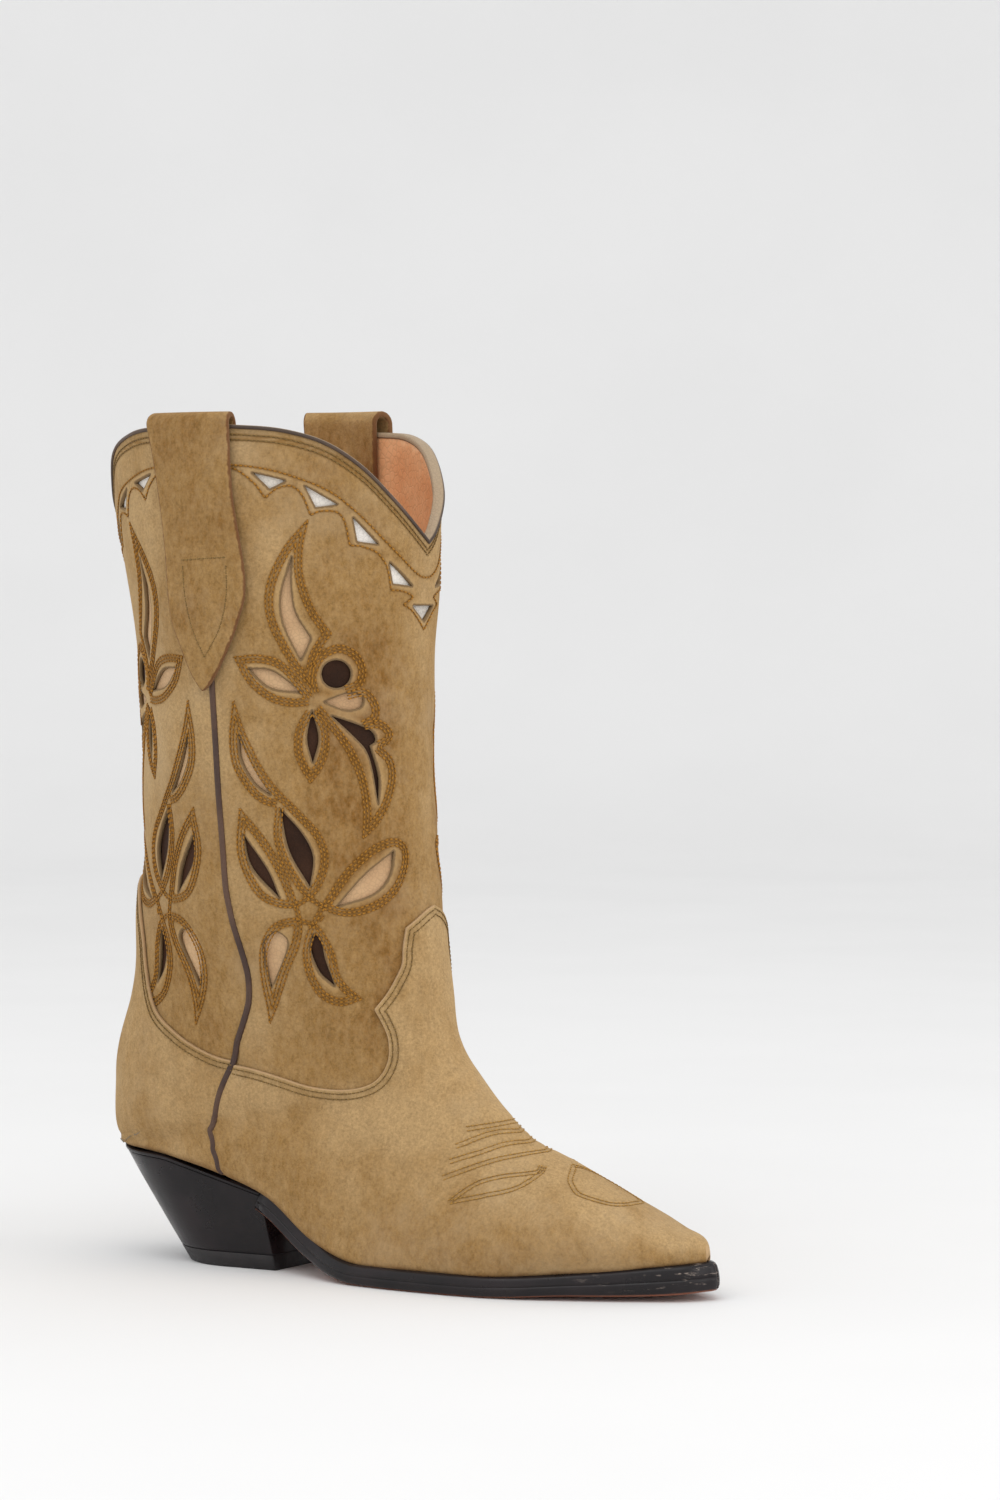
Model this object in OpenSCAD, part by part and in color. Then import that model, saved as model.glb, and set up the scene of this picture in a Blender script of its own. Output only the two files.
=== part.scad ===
// Mid-calf cowboy boot for the right foot, in millimetres.
// +X points to the toe, +Z up, and the outer side of the foot is towards -Y.
// Every leather piece is a patch of one smooth surface. The surface runs down the shaft in
// flat sections that fan round the instep and on to the toe. A place on it has two
// coordinates: the section number t, and the angle a round the section, which is 0 at the
// front, 90 at the outer side, 180 at the back or under the foot, and negative on the
// inner side. On the shaft, the height z stands for t.

/* [Shaft] */
// Height of the topline at the sides
shaft_h = 327; // [270:1:400]
// Dip of the topline at the front and back
topline_dip = 44; // [20:1:60]
// Depth of the shaft at the mouth, front to back
mouth_depth = 149; // [125:1:180]
// Width of the shaft at the mouth, side to side
mouth_width = 112; // [94:1:135]
// Depth of the shaft at the shin, its slimmest height
shin_depth = 124.5; // [104:0.5:150]
// Width of the shaft at the shin
shin_width = 102; // [85:1:123]
// Depth of the shaft at the ankle
ankle_depth = 132; // [120:1:150]
// Width of the shaft at the ankle
ankle_width = 92; // [77:1:110]

/* [Foot] */
// Length of the upper from the back of the heel to the toe
foot_l = 262; // [218:1:315]
// Height of the heel's top, under the upper
seat_h = 42; // [35:1:52]
// Height of the instep where the shaft meets the foot
instep_h = 91; // [84:1:102]
// Width of the heel cup
heel_width = 64; // [54:1:77]
// Width of the upper over the instep and waist
waist_width = 61; // [51:1:73]
// Width of the upper over the ball of the foot
ball_width = 74; // [62:1:89]
// Lift of the toe off the ground
toe_spring = 6.5; // [4:0.5:10]
// Swing of the toe towards the inner side
toe_swing = 4; // [0:0.5:8]

/* [Leather] */
// Thickness of the suede
suede_t = 1.4; // [1.1:0.1:1.8]
// Thickness of the inlay leathers
inlay_t = 0.7; // [0.5:0.1:0.9]
// Thickness of the lining
lining_t = 1; // [0.8:0.1:1.4]
// Overlap of the vamp and the counter cover on the shaft
lap = 9; // [6:1:12]
// Margin of an inlay past its window
inlay_margin = 1.1; // [0.6:0.1:1.2]

/* [Trim] */
// Width of the side piping
piping_w = 2.6; // [2:0.1:3.6]
// Height of the side piping
piping_t = 1.2; // [0.9:0.1:1.6]
// Width of the topline binding on each face
binding_w = 3.5; // [2.5:0.5:6]
// Thickness of the topline binding
binding_t = 0.8; // [0.6:0.1:1.2]
// Width of a pull strap at the mouth
strap_w = 38; // [31:1:46]
// Thickness of a pull strap
strap_t = 2.2; // [1.8:0.1:2.8]
// Length of a pull strap down the outside
strap_drop = 100; // [80:1:115]
// Length of a pull strap down the inside
strap_inside = 48; // [36:1:60]
// Height of the inner pull strap's loop over the topline
strap_loop = 9; // [8:0.5:12]
// Height of the outer pull strap's loop, which lies flatter
outer_loop = 5.5; // [5:0.5:12]

/* [Bottom] */
// Thickness of the welt
welt_t = 3; // [2.4:0.1:3.6]
// Width of the welt past the upper
welt_w = 4; // [3:0.5:6]
// Thickness of the outsole
outsole_t = 4; // [3.2:0.1:4.8]
// Thickness of the insole board
insole_t = 2.4; // [2:0.1:3]
// Thickness of the sock liner
sock_t = 1; // [0.8:0.1:1.4]
// Length of the heel under the seat
heel_l = 76; // [64:1:84]
// Slope of the heel's back, in millimetres from top to bottom
heel_undercut = 30; // [18:1:34]
// Thickness of the top lift
top_lift_t = 6; // [4:0.5:8]
// Thickness of the heel rand
rand_t = 1.4; // [1:0.1:2.4]
// Diameter of a heel nail
nail_d = 2.4; // [2:0.1:2.9]
// Diameter of a shank peg
peg_d = 2; // [1.6:0.1:2.4]
// Width of the shank spring
shank_w = 14; // [12:1:17]

/* [Hidden] */

// Gap between two layers of leather
gap = 0.15;
// Depth of each layer under the shaft's outer face, and of the vamp over it
inlay_face = -suede_t - gap;
lining_face = inlay_face - inlay_t - gap;
lining_back = lining_face - lining_t;
cover_back = 2 * gap;
cover_face = cover_back + suede_t;
// Depth of the upper where it turns in over the sole
under_t = cover_face + gap;
// Total thickness under the upper at the ball, from ground to feather line
sole_t = welt_t + outsole_t;
// Height where the shaft's flat sections end and the foot's begin
ankle_h = 140;
// Height of the first section, above the topline and the strap's loop
crown_h = shaft_h + strap_loop + strap_t + 2;
// Toe height, at the end of the dorsal line
tip_h = sole_t + toe_spring + 5.5;
// Straight-line tolerance used for numeric slopes
tiny = 0.01;

function mix(a, b, f) = a + (b - a) * f;
function clamp01(x) = min(1, max(0, x));
function smooth01(x) = let (s = clamp01(x)) s * s * (3 - 2 * s);
function unit(v) = v / norm(v);
function rise(f) = mix(ankle_h, crown_h, f);
function dorsal(f) = mix(tip_h, instep_h, f);
function above_seat(h) = seat_h + under_t + h;
function arch(f) = mix(sole_t, seat_h, f) + under_t;
function spring(f) = sole_t + under_t + toe_spring * f;

// A section is [front x, front z, back x, back z, half-width, half-width underneath,
// height of its widest point, leanness in front, leanness behind, pattern height].
function shaft_section(z, back_x, depth, width, lean_front, lean_back) =
    [back_x + depth, z, back_x, z, width / 2, 0, 0, lean_front, lean_back, z];
SECTIONS = [
    shaft_section(rise(1.00), -5, mouth_depth, mouth_width, 0.08, 0.04),
    shaft_section(rise(0.77), 1.5, mix(shin_depth, mouth_depth, 0.65), mouth_width, 0.08, 0.04),
    shaft_section(rise(0.51), 11.5, mix(shin_depth, mouth_depth, 0.10),
        mix(shin_width, mouth_width, 0.7), 0.07, 0.04),
    shaft_section(rise(0.26), 13.5, shin_depth, shin_width, 0.06, 0.04),
    shaft_section(ankle_h, 11, ankle_depth, ankle_width, 0.05, 0.03),
    [foot_l * 0.559, instep_h + 18, 6.5, seat_h + 61, mix(heel_width, ankle_width, 0.5) / 2, 0,
        0, 0.03, 0, 106],
    [foot_l * 0.576, dorsal(1), 0, seat_h + 30, heel_width / 2 + 2.5, 0, -0.1, 0.01, -0.06, 86],
    [foot_l * 0.601, dorsal(0.868), 3, above_seat(4), heel_width / 2, 0, -0.22, 0, -0.07, 72],
    [foot_l * 0.615, dorsal(0.82), 6.5, above_seat(3), heel_width / 2 - 1, 12, -0.27, 0, -0.02, 67],
    [foot_l * 0.628, dorsal(0.77), 12.5, above_seat(2), waist_width / 2, 19, -0.33, 0, 0.03, 62],
    [foot_l * 0.664, dorsal(0.63), 40, above_seat(0), waist_width / 2, 27, -0.45, 0, 0, 50],
    [foot_l * 0.714, dorsal(0.47), foot_l * 0.32, arch(0.64), waist_width / 2, 27.5,
        -0.5, 0, 0, 35],
    [foot_l * 0.748, dorsal(0.42), foot_l * 0.41, arch(0.2),
        mix(waist_width, ball_width, 0.15) / 2, 29, -0.52, 0, 0, 26],
    [foot_l * 0.782, dorsal(0.37), foot_l * 0.50, spring(0),
        mix(waist_width, ball_width, 0.77) / 2, ball_width / 2 - 2, -0.55, 0, 0, 18],
    [foot_l * 0.844, dorsal(0.26), foot_l * 0.71, spring(0), ball_width / 2, ball_width / 2 - 1,
        -0.6, 0, 0, 6],
    [foot_l * 0.912, dorsal(0.145), foot_l * 0.847, spring(0.38), ball_width * 0.347,
        ball_width * 0.331, -0.6, 0, 0, -6],
    [foot_l * 0.949, dorsal(0.08), foot_l * 0.924, spring(0.69), ball_width * 0.23,
        ball_width * 0.21, -0.6, 0, 0, -14],
    [foot_l * 0.978, dorsal(0.046), foot_l * 0.975, spring(0.89), ball_width * 0.115,
        ball_width * 0.108, -0.6, 0, 0, -21],
    [foot_l * 0.993, dorsal(0), foot_l * 0.997, spring(0.98), 0.6, 0.3, -0.6, 0, 0, -26]
];
LAST = len(SECTIONS) - 1;
// Section numbers of the back of the heel seat, and of the start of the toe swing
T_SEAT = 7;
T_SWING = 12;
// Section number where the side seam reaches the sole
T_FOOT = 10.6;
HEIGHTS = [for (i = [LAST:-1:0]) [SECTIONS[i][9], i]];

function section_at(i) =
    i < 0 ? 2 * SECTIONS[0] - SECTIONS[1]
    : i > LAST ? 2 * SECTIONS[LAST] - SECTIONS[LAST - 1]
    : SECTIONS[i];
// A smooth curve through four values, at a share s of the way from the second to the third
function curve(p, q, r, u, s) =
    0.5 * (2 * q + (r - p) * s + (2 * p - 5 * q + 4 * r - u) * s * s
        + (3 * q - p - 3 * r + u) * s * s * s);
// A smooth curve through the sections, at any section number t, never below the sole's top
function section(t) =
    let (i = min(LAST - 1, max(0, floor(t))),
         k = curve(section_at(i - 1), section_at(i), section_at(i + 1), section_at(i + 2), t - i))
    [for (j = [0:len(k) - 1]) j == 3 ? max(sole_t + under_t, k[j]) : k[j]];
function t_at(z) = lookup(z, HEIGHTS);
function swing(t) = toe_swing * smooth01((t - T_SWING) / (LAST - T_SWING));

// The point at angle a of a section, before any offset
function on_section(k, t, a) =
    let (side = a < 0 ? 1 : -1,
         p = abs(a),
         front = p <= 90,
         q = front ? p : p - 90,
         trim = 1 - (front ? k[7] : k[8]) * pow(sin(2 * p), 2),
         under = max(0, k[5]),
         u = front ? k[6] + (1 - k[6]) * cos(q) * trim : k[6] - (1 + k[6]) * sin(q) * trim,
         y = front ? k[4] * sin(q) * trim : (under + (k[4] - under) * cos(q)) * trim)
    [mix(k[2], k[0], (u + 1) / 2), side * y + swing(t), mix(k[3], k[1], (u + 1) / 2)];
// The point at [t, a], moved outwards along the surface's normal
function skin(t, a, out = 0) =
    let (k = section(t),
         t1 = max(0, t - tiny), t2 = min(LAST, t + tiny),
         p = on_section(k, t, a),
         along = on_section(section(t2), t2, a) - on_section(section(t1), t1, a),
         around = on_section(k, t, a + 0.2) - on_section(k, t, a - 0.2),
         n = unit(cross(around, along)))
    p + out * n;

// A closed sheet between two grids of points that match row by row. Seen from the near
// grid's side, the rows run down and the columns run to the left.
module sheet(near, far) {
    rows = len(near);
    cols = len(near[0]);
    count = rows * cols;
    points = concat([for (r = near) for (p = r) p], [for (r = far) for (p = r) p]);
    function at(i, j, layer = 0) = layer * count + i * cols + j;
    faces = concat(
        [for (i = [0:rows - 2]) for (j = [0:cols - 2])
            for (f = [[at(i, j), at(i, j + 1), at(i + 1, j)],
                      [at(i + 1, j), at(i, j + 1), at(i + 1, j + 1)],
                      [at(i, j, 1), at(i + 1, j, 1), at(i, j + 1, 1)],
                      [at(i + 1, j, 1), at(i + 1, j + 1, 1), at(i, j + 1, 1)]]) f],
        [for (j = [0:cols - 2]) for (f = [
            [at(0, j), at(0, j, 1), at(0, j + 1, 1)],
            [at(0, j), at(0, j + 1, 1), at(0, j + 1)],
            [at(rows - 1, j), at(rows - 1, j + 1), at(rows - 1, j + 1, 1)],
            [at(rows - 1, j), at(rows - 1, j + 1, 1), at(rows - 1, j, 1)]]) f],
        [for (i = [0:rows - 2]) for (f = [
            [at(i, 0), at(i + 1, 0), at(i + 1, 0, 1)],
            [at(i, 0), at(i + 1, 0, 1), at(i, 0, 1)],
            [at(i, cols - 1), at(i, cols - 1, 1), at(i + 1, cols - 1, 1)],
            [at(i, cols - 1), at(i + 1, cols - 1, 1), at(i + 1, cols - 1)]]) f]);
    polyhedron(points, faces);
}

// A sheet between two depths, over a grid of [t, a] places
module patch(places, face, back) {
    sheet([for (r = places) [for (p = r) skin(p[0], p[1], back)]],
          [for (r = places) [for (p = r) skin(p[0], p[1], face)]]);
}

// A closed solid through rings of points that match ring by ring. Point j of a ring lies
// across from point n - 1 - j, so a cap is a strip of triangles between the two.
module loft(rings) {
    n = len(rings[0]);
    last = len(rings) - 1;
    points = [for (r = rings) for (p = r) p];
    faces = concat(
        cap(n, 0, false),
        [for (i = [0:last - 1]) for (j = [0:n - 1]) for (f = [
            [i * n + j, (i + 1) * n + j, i * n + (j + 1) % n],
            [i * n + (j + 1) % n, (i + 1) * n + j, (i + 1) * n + (j + 1) % n]]) f],
        cap(n, last * n, true));
    polyhedron(points, faces);
}
function cap(n, start, flip) =
    [for (j = [0:floor(n / 2) - 1])
        for (f = [[j, j + 1, n - 1 - j], [j + 1, n - 2 - j, n - 1 - j]])
        if (f[0] != f[1] && f[1] != f[2] && f[0] != f[2])
            let (g = start * [1, 1, 1] + f) flip ? [g[2], g[1], g[0]] : g];

// ---- Edges of the leather pieces, as angle and height ----
function ends(list, x) = lookup(x, list);
// A smooth curve through a list of points, with n steps between two of them
function curve_at(list, i, s) =
    let (m = len(list) - 1,
         q = list[i], r = list[i + 1],
         p = i > 0 ? list[i - 1] : 2 * q - r,
         u = i + 2 <= m ? list[i + 2] : 2 * r - q)
    curve(p, q, r, u, s);
function smooth(list, n) =
    [for (i = [0:len(list) - 2]) for (j = [0:n - 1]) curve_at(list, i, j / n)];

// Drop of the topline below its peak, as a share of the dip, from the front or back centre
TOPLINE = [[0, 1], [5, 0.92], [10, 0.82], [20, 0.6], [32, 0.34], [45, 0.15], [60, 0.045],
           [75, 0.01], [90, 0]];
function side_angle(a) = abs(a) > 90 ? 180 - abs(a) : abs(a);
function topline(a) = shaft_h - topline_dip * ends(TOPLINE, side_angle(a));
// Angle of the side seam at a height
SEAM = [[42, 140], [50, 104], [62, 99], [72, 93], [81, 88], [94, 86], [106, 84], [115, 84],
        [135, 86.5], [150, 88], [400, 88]];
function seam(z) = ends(SEAM, z);
// Upper edge of the vamp, from the front centre to the seam
VAMP_EDGE = [[0, 144], [18, 135], [21, 126], [26, 114], [36, 103], [37, 90], [39, 79], [44, 72.5],
             [52, 71.5], [61, 75], [70, 80], [86, 86]];
// Upper edge of the counter cover, from the seam to the back centre
COUNTER_EDGE = [[86, 87], [96, 90], [112, 96.5], [128, 103.5], [139, 121], [146, 138], [154, 147],
                [180, 152]];
// Foot of the seam, where the vamp and the counter cover reach the sole
SEAM_FOOT = [[86, t_at(86)], [88, 6.28], [92, 6.96], [101, 9.65], [115, 10.1], [150, 10.47],
             [180, T_FOOT]];
// Angle of the seam below the ankle, at a section number
function seam_low(t) = max(86, ends([for (p = SEAM_FOOT) [p[1], p[0]]], t));
function vamp_start(a) = let (w = abs(a)) w < 86 ? t_at(ends(VAMP_EDGE, w)) : ends(SEAM_FOOT, w);

// Angles of the grid from the front centre to the side, shared by every layer
FRONT_ANGLES = [0, 10, 18, 21, 26, 37, 44, 52, 61, 70, 78];
BACK_ANGLES = [for (a = FRONT_ANGLES) 180 - a];
ROWS = 13;

function mirror_list(list) =
    concat([for (i = [len(list) - 1:-1:1]) -list[i]], list);
// Places of a shaft panel whose columns stop clear of the seam
function front_places(top_gap, bottom, clear, rows = ROWS) =
    [for (i = [0:rows]) [for (c = concat([-1], mirror_list(FRONT_ANGLES), [1]))
        let (edge = abs(c) == 1,
             a0 = edge ? seam(150) : abs(c),
             z = mix(topline(a0) - top_gap, ends(bottom, a0), i / rows),
             a = edge ? c * (seam(z) - clear) : c)
        [t_at(z), a]]];
function back_places(top_gap, bottom, clear, rows = ROWS) =
    [for (i = [0:rows]) [for (c = concat([1], [for (k = [len(BACK_ANGLES) - 1:-1:0]) BACK_ANGLES[k]],
                                        [for (k = [1:len(BACK_ANGLES) - 1]) -BACK_ANGLES[k]], [-1]))
        let (edge = abs(c) == 1,
             a0 = edge ? seam(150) : abs(c),
             z = mix(topline(a0) - top_gap, ends(bottom, a0), i / rows),
             a = edge ? c * (seam(z) + clear) : c)
        [t_at(z), a]]];
function lowered(edge, by) = [for (p = edge) [p[0], p[1] - by]];

// ---- Windows, each a list of sides that run from corner to corner ----
WHITE_WINDOWS = [
    [[[70, 309], [59, 306]], [[59, 306], [64.5, 303]], [[64.5, 303], [70, 309]]],
    [[[52, 304], [40, 297]], [[40, 297], [48, 296]], [[48, 296], [52, 304]]],
    [[[34, 292], [24, 282]], [[24, 282], [32, 283]], [[32, 283], [34, 292]]],
    [[[19, 275], [8, 266]], [[8, 266], [17, 267]], [[17, 267], [19, 275]]]
];
CREAM_WINDOWS = [
    [[[57, 277], [61, 262], [60, 251], [54, 238]], [[54, 238], [50, 246]],
     [[50, 246], [56, 256], [57.5, 267], [57, 277]]],
    [[[74, 234.5], [65, 233.5], [54, 225.5]], [[54, 225.5], [66, 227.5], [74, 234.5]]],
    [[[45, 222], [36, 225], [30.5, 224.5], [29, 222], [31, 219.5], [37, 219], [45, 222]]],
    [[[78.5, 209], [78, 200], [73.5, 191], [68, 186.5]], [[68, 186.5], [74, 197], [78.5, 209]]],
    [[[46, 144], [33, 156], [19, 165]], [[19, 165], [22, 156], [30, 149], [46, 144]]],
    [[[76, 111], [77, 122], [76, 129], [72, 133], [68.5, 132], [68, 127], [76, 111]]]
];
DARK_WINDOWS = [
    [[for (q = [0:30:360]) [40 + 6 * cos(q), 232.5 + 5.3 * sin(q)]]],
    [[[50, 218.5], [52.3, 208], [50.5, 198.5]], [[50.5, 198.5], [47.7, 208], [50, 218.5]]],
    [[[42, 216.5], [33, 208.5], [28, 203], [25.5, 195], [24, 183]], [[24, 183], [23, 193], [26.5, 205]],
     [[26.5, 205], [24, 207], [25.5, 210.5], [31, 213], [42, 216.5]]],
    [[[79.5, 171], [77.5, 159], [68, 147]], [[68, 147], [71.5, 158], [79.5, 171]]],
    [[[64.5, 181], [62.5, 165], [56, 151.5]], [[56, 151.5], [53.5, 163], [57, 172], [64.5, 181]]],
    [[[52, 111.5], [57, 117], [59, 126], [57, 132.5], [54.5, 130], [54, 122], [52, 111.5]]]
];
// The window on the centre line
CENTRE_WINDOW = [[[-7, 258.5], [7, 258.5]], [[7, 258.5], [0, 252.5]], [[0, 252.5], [-7, 258.5]]];
CURVE_STEPS = 3;

function is_straight(side) = len(side) == 2;
function outline(window, steps = CURVE_STEPS) =
    [for (side = window) for (p = is_straight(side) ? [side[0]] : smooth(side, steps)) p];
function mean_of(list, i = 0, sum = [0, 0]) =
    i == len(list) ? sum / len(list) : mean_of(list, i + 1, sum + list[i]);
// The window's place for a side of the boot: outer or inner, front or back
function placed(window, inner, back) =
    [for (side = window) [for (p = side)
        let (a = back ? 180 - p[0] : p[0]) [inner ? -a : a, p[1]]]];
// The flat frame that faces a window: centre, across, up and outwards
function facing(points) =
    let (c = mean_of(points), t = t_at(c[1]),
         p = skin(t, c[0]),
         side = skin(t, c[0] + 1) - skin(t, c[0] - 1),
         x = unit([side[0], side[1], 0]),
         z = [0, 0, 1],
         y = cross(z, x))
    [p, x, z, y];
// The outline grown by a margin, in the frame's own millimetres
function grown(flat, by) =
    let (n = len(flat),
         area = [for (i = [0:n - 1]) let (p = flat[i], q = flat[(i + 1) % n]) p[0] * q[1] - p[1] * q[0]],
         turn = area * [for (i = area) 1] > 0 ? 1 : -1)
    [for (i = [0:n - 1])
        let (p = flat[(i + n - 1) % n], q = flat[i], r = flat[(i + 1) % n],
             d1 = unit(q - p), d2 = unit(r - q),
             n1 = turn * [d1[1], -d1[0]], n2 = turn * [d2[1], -d2[0]],
             m = n1 + n2)
        norm(m) < 0.7 ? q + by * m : q + by * m * 2 / (m * m)];
module prism(window, by = 0, reach = 7) {
    points = outline(window);
    f = facing(points);
    flat = [for (p = points)
        let (v = skin(t_at(p[1]), p[0]) - f[0]) [v * f[1], v * f[2]]];
    multmatrix([[f[1][0], f[2][0], f[3][0], f[0][0]],
                [f[1][1], f[2][1], f[3][1], f[0][1]],
                [f[1][2], f[2][2], f[3][2], f[0][2]],
                [0, 0, 0, 1]])
        translate([0, 0, -reach])
            linear_extrude(height = 2 * reach)
                polygon(by == 0 ? flat : grown(flat, by));
}
module each_window(windows, back) {
    for (w = windows)
        for (inner = [false, true])
            prism(placed(w, inner, back));
}
module windows_of(back) {
    each_window(WHITE_WINDOWS, back);
    each_window(CREAM_WINDOWS, back);
    each_window(DARK_WINDOWS, back);
    prism(placed(CENTRE_WINDOW, false, back));
}
// One inlay: a local sheet of thin leather, cut to the window's outline and its margin
module inlay(window) {
    points = outline(window);
    as = [for (p = points) p[0]];
    zs = [for (p = points) p[1]];
    spare = 2 * inlay_margin;
    places = [for (i = [0:3]) [for (j = [0:3])
        [t_at(mix(max(zs) + spare, min(zs) - spare, i / 3)),
         mix(min(as) - spare, max(as) + spare, j / 3)]]];
    intersection() {
        patch(places, inlay_face, inlay_face - inlay_t);
        prism(window, inlay_margin);
    }
}
module inlays(windows, back) {
    for (w = windows)
        for (inner = [false, true])
            inlay(placed(w, inner, back));
}

// ---- The shaft ----
module shaft_front_panel() {
    color("tan") difference() {
        patch(front_places(0, lowered(VAMP_EDGE, lap), 0.3), 0, -suede_t);
        windows_of(false);
    }
}
module shaft_back_panel() {
    color("burlywood") difference() {
        patch(back_places(0, lowered(COUNTER_EDGE, lap), 0.3), 0, -suede_t);
        windows_of(true);
    }
}
module front_inlay_white() {
    color("white") {
        inlays(WHITE_WINDOWS, false);
        inlay(placed(CENTRE_WINDOW, false, false));
    }
}
module front_inlay_cream() { color("wheat") inlays(CREAM_WINDOWS, false); }
module front_inlay_dark() { color("saddlebrown") inlays(DARK_WINDOWS, false); }
module back_inlay_white() {
    color("white") {
        inlays(WHITE_WINDOWS, true);
        inlay(placed(CENTRE_WINDOW, false, true));
    }
}
module back_inlay_cream() { color("wheat") inlays(CREAM_WINDOWS, true); }
module back_inlay_dark() { color("saddlebrown") inlays(DARK_WINDOWS, true); }

// ---- The foot ----
VAMP_ANGLES = [0, 10, 18, 21, 26, 37, 44, 52, 61, 70, 78, 86, 92, 101, 115, 132, 150, 180];
VAMP_ROWS = 15;
LINING_ROWS = 8;
function vamp_places(start_gap, end) =
    [for (i = [0:VAMP_ROWS]) [for (a = mirror_list(VAMP_ANGLES))
        [mix(vamp_start(a) + start_gap, end, i / VAMP_ROWS), a]]];
module vamp() { color("peru") patch(vamp_places(0, LAST), cover_face, cover_back); }

// The heel's leather runs from the seam round the back, so its grid is blended from its four
// edges: the top edge, the feather line, the seam and the back centre.
HEEL_COLS = 12;
HEEL_ROWS = 12;
function heel_place(s, r, edge, clear) =
    let (t_top = t_at(ends(edge, 86)),
         t_back = t_at(ends(edge, 180)),
         a = mix(86 + clear, 180, s),
         top = [t_at(ends(edge, a)), a],
         foot = [mix(T_FOOT, T_SEAT, s), 180],
         t_side = mix(t_top, T_FOOT, r),
         side = [t_side, min(180, seam_low(t_side) + clear)],
         back = [mix(t_back, T_SEAT, r), 180])
    (1 - r) * top + r * foot + (1 - s) * side + s * back
        - (1 - s) * (1 - r) * [t_top, 86 + clear] - (1 - s) * r * [T_FOOT, 180]
        - s * (1 - r) * [t_back, 180] - s * r * [T_SEAT, 180];
function heel_places(edge, clear, rows = HEEL_ROWS) =
    [for (i = [0:rows]) [for (j = [0:2 * HEEL_COLS])
        let (s = 1 - abs(1 - j / HEEL_COLS),
             p = heel_place(s, i / rows, edge, clear))
        j > HEEL_COLS ? [p[0], -p[1]] : p]];
module counter_cover() { color("tan") patch(heel_places(COUNTER_EDGE, 0.6), cover_face, cover_back); }

// Height where the shaft's linings end and the foot's begin
lining_join = 103;
LEVEL_JOIN = [[0, lining_join], [180, lining_join]];
module front_lining() {
    color("chocolate")
        patch(front_places(0.2, LEVEL_JOIN, 0.3, LINING_ROWS), lining_face, lining_back);
}
module back_lining() {
    color("chocolate")
        patch(back_places(0.2, LEVEL_JOIN, 0.3, LINING_ROWS), lining_face, lining_back);
}
module vamp_lining() {
    join = t_at(lining_join - 1);
    color("sandybrown")
        patch([for (i = [0:VAMP_ROWS - 3]) [for (a = mirror_list(VAMP_ANGLES))
            [mix(abs(a) < 86 ? join : vamp_start(a), LAST - 2.4, i / (VAMP_ROWS - 3)), a]]],
            lining_face, lining_back);
}
module heel_lining() {
    color("sandybrown")
        patch(heel_places([[86, lining_join - 1], [180, lining_join - 1]], 0.6, LINING_ROWS),
            lining_face, lining_back);
}

module toe_box() {
    color("gray")
        patch([for (i = [0:6]) [for (a = mirror_list(VAMP_ANGLES))
            [mix(14.2, LAST - 1.2, i / 6), a]]], -gap, lining_face + gap);
}
module heel_counter() {
    color("dimgray")
        patch(heel_places([[86, 74], [100, 76], [140, 100], [180, 108]], 12, LINING_ROWS),
            -gap, lining_face + gap);
}

// ---- Trim ----
PIPING_RINGS = 36;
function seam_place(z) = [t_at(z), seam(z)];
// The seam from the topline to the sole: down the shaft by height, then by section number
function seam_run(f) =
    let (split = 0.6,
         z = mix(shaft_h - binding_w - 1, 94, clamp01(f / split)),
         t = mix(t_at(94), 10.3, clamp01((f - split) / (1 - split))))
    f < split ? seam_place(z) : [t, seam_low(t)];
module piping(inner) {
    rings = [for (i = [0:PIPING_RINGS])
        let (p = seam_run(i / PIPING_RINGS), q = seam_run(min(1, (i + 1) / PIPING_RINGS)),
             o = seam_run(max(0, (i - 1) / PIPING_RINGS)),
             base = gap + cover_face * smooth01((p[0] - 4.9) / 0.9),
             a = inner ? -p[1] : p[1],
             c = skin(p[0], a, base), n = unit(skin(p[0], a, base + 1) - c),
             ahead = unit(skin(q[0], inner ? -q[1] : q[1], base) - skin(o[0], inner ? -o[1] : o[1], base)),
             x = unit(cross(n, ahead)))
        [for (g = [0, 45, 90, 135, 180])
            c + x * cos(g) * piping_w / 2 + n * sin(g) * piping_t]];
    loft(rings);
}
module side_piping_outer() { color("darkslategray") piping(false); }
module side_piping_inner() { color("darkslategray") piping(true); }

BINDING_STEPS = 60;
module topline_binding() {
    out = gap + binding_t;
    in = lining_back - gap - binding_t;
    profile = [[in, -binding_w], [in, gap + binding_t], [out, gap + binding_t], [out, -binding_w],
               [gap, -binding_w], [gap, gap], [lining_back - gap, gap], [lining_back - gap, -binding_w]];
    n = len(profile);
    rings = [for (i = [0:BINDING_STEPS - 1])
        let (a = 360 * i / BINDING_STEPS - 180)
        [for (p = profile) skin(t_at(topline(a) + p[1]), a, p[0])]];
    points = [for (r = rings) for (p = r) p];
    faces = [for (i = [0:BINDING_STEPS - 1]) for (j = [0:n - 1])
        let (k = (i + 1) % BINDING_STEPS, m = (j + 1) % n)
        for (f = [[i * n + j, i * n + m, k * n + j], [k * n + j, i * n + m, k * n + m]]) f];
    color("dimgray") polyhedron(points, faces);
}

// Pull strap: one long strip, up the outside, over the topline in a loop and down the inside
STRAP_COLS = 6;
strap_out = piping_t + 2 * gap;
strap_in = lining_back - binding_t - 2 * gap;
// Places of the strip's middle: height and depth of its face nearer the shaft
loop_r = (strap_out - strap_in) / 2;
loop_mid = (strap_out + strap_in) / 2;
function strap_path(loop) = concat(
    [for (i = [0:10]) [mix(shaft_h - strap_drop, shaft_h, i / 10), strap_out, 0]],
    [for (g = [0:30:180])
        [shaft_h + loop - strap_t - loop_r + loop_r * sin(g), loop_mid + loop_r * cos(g), g]],
    [for (i = [0:5]) [mix(shaft_h, shaft_h - strap_inside, i / 5), strap_in, 180]]);
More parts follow.
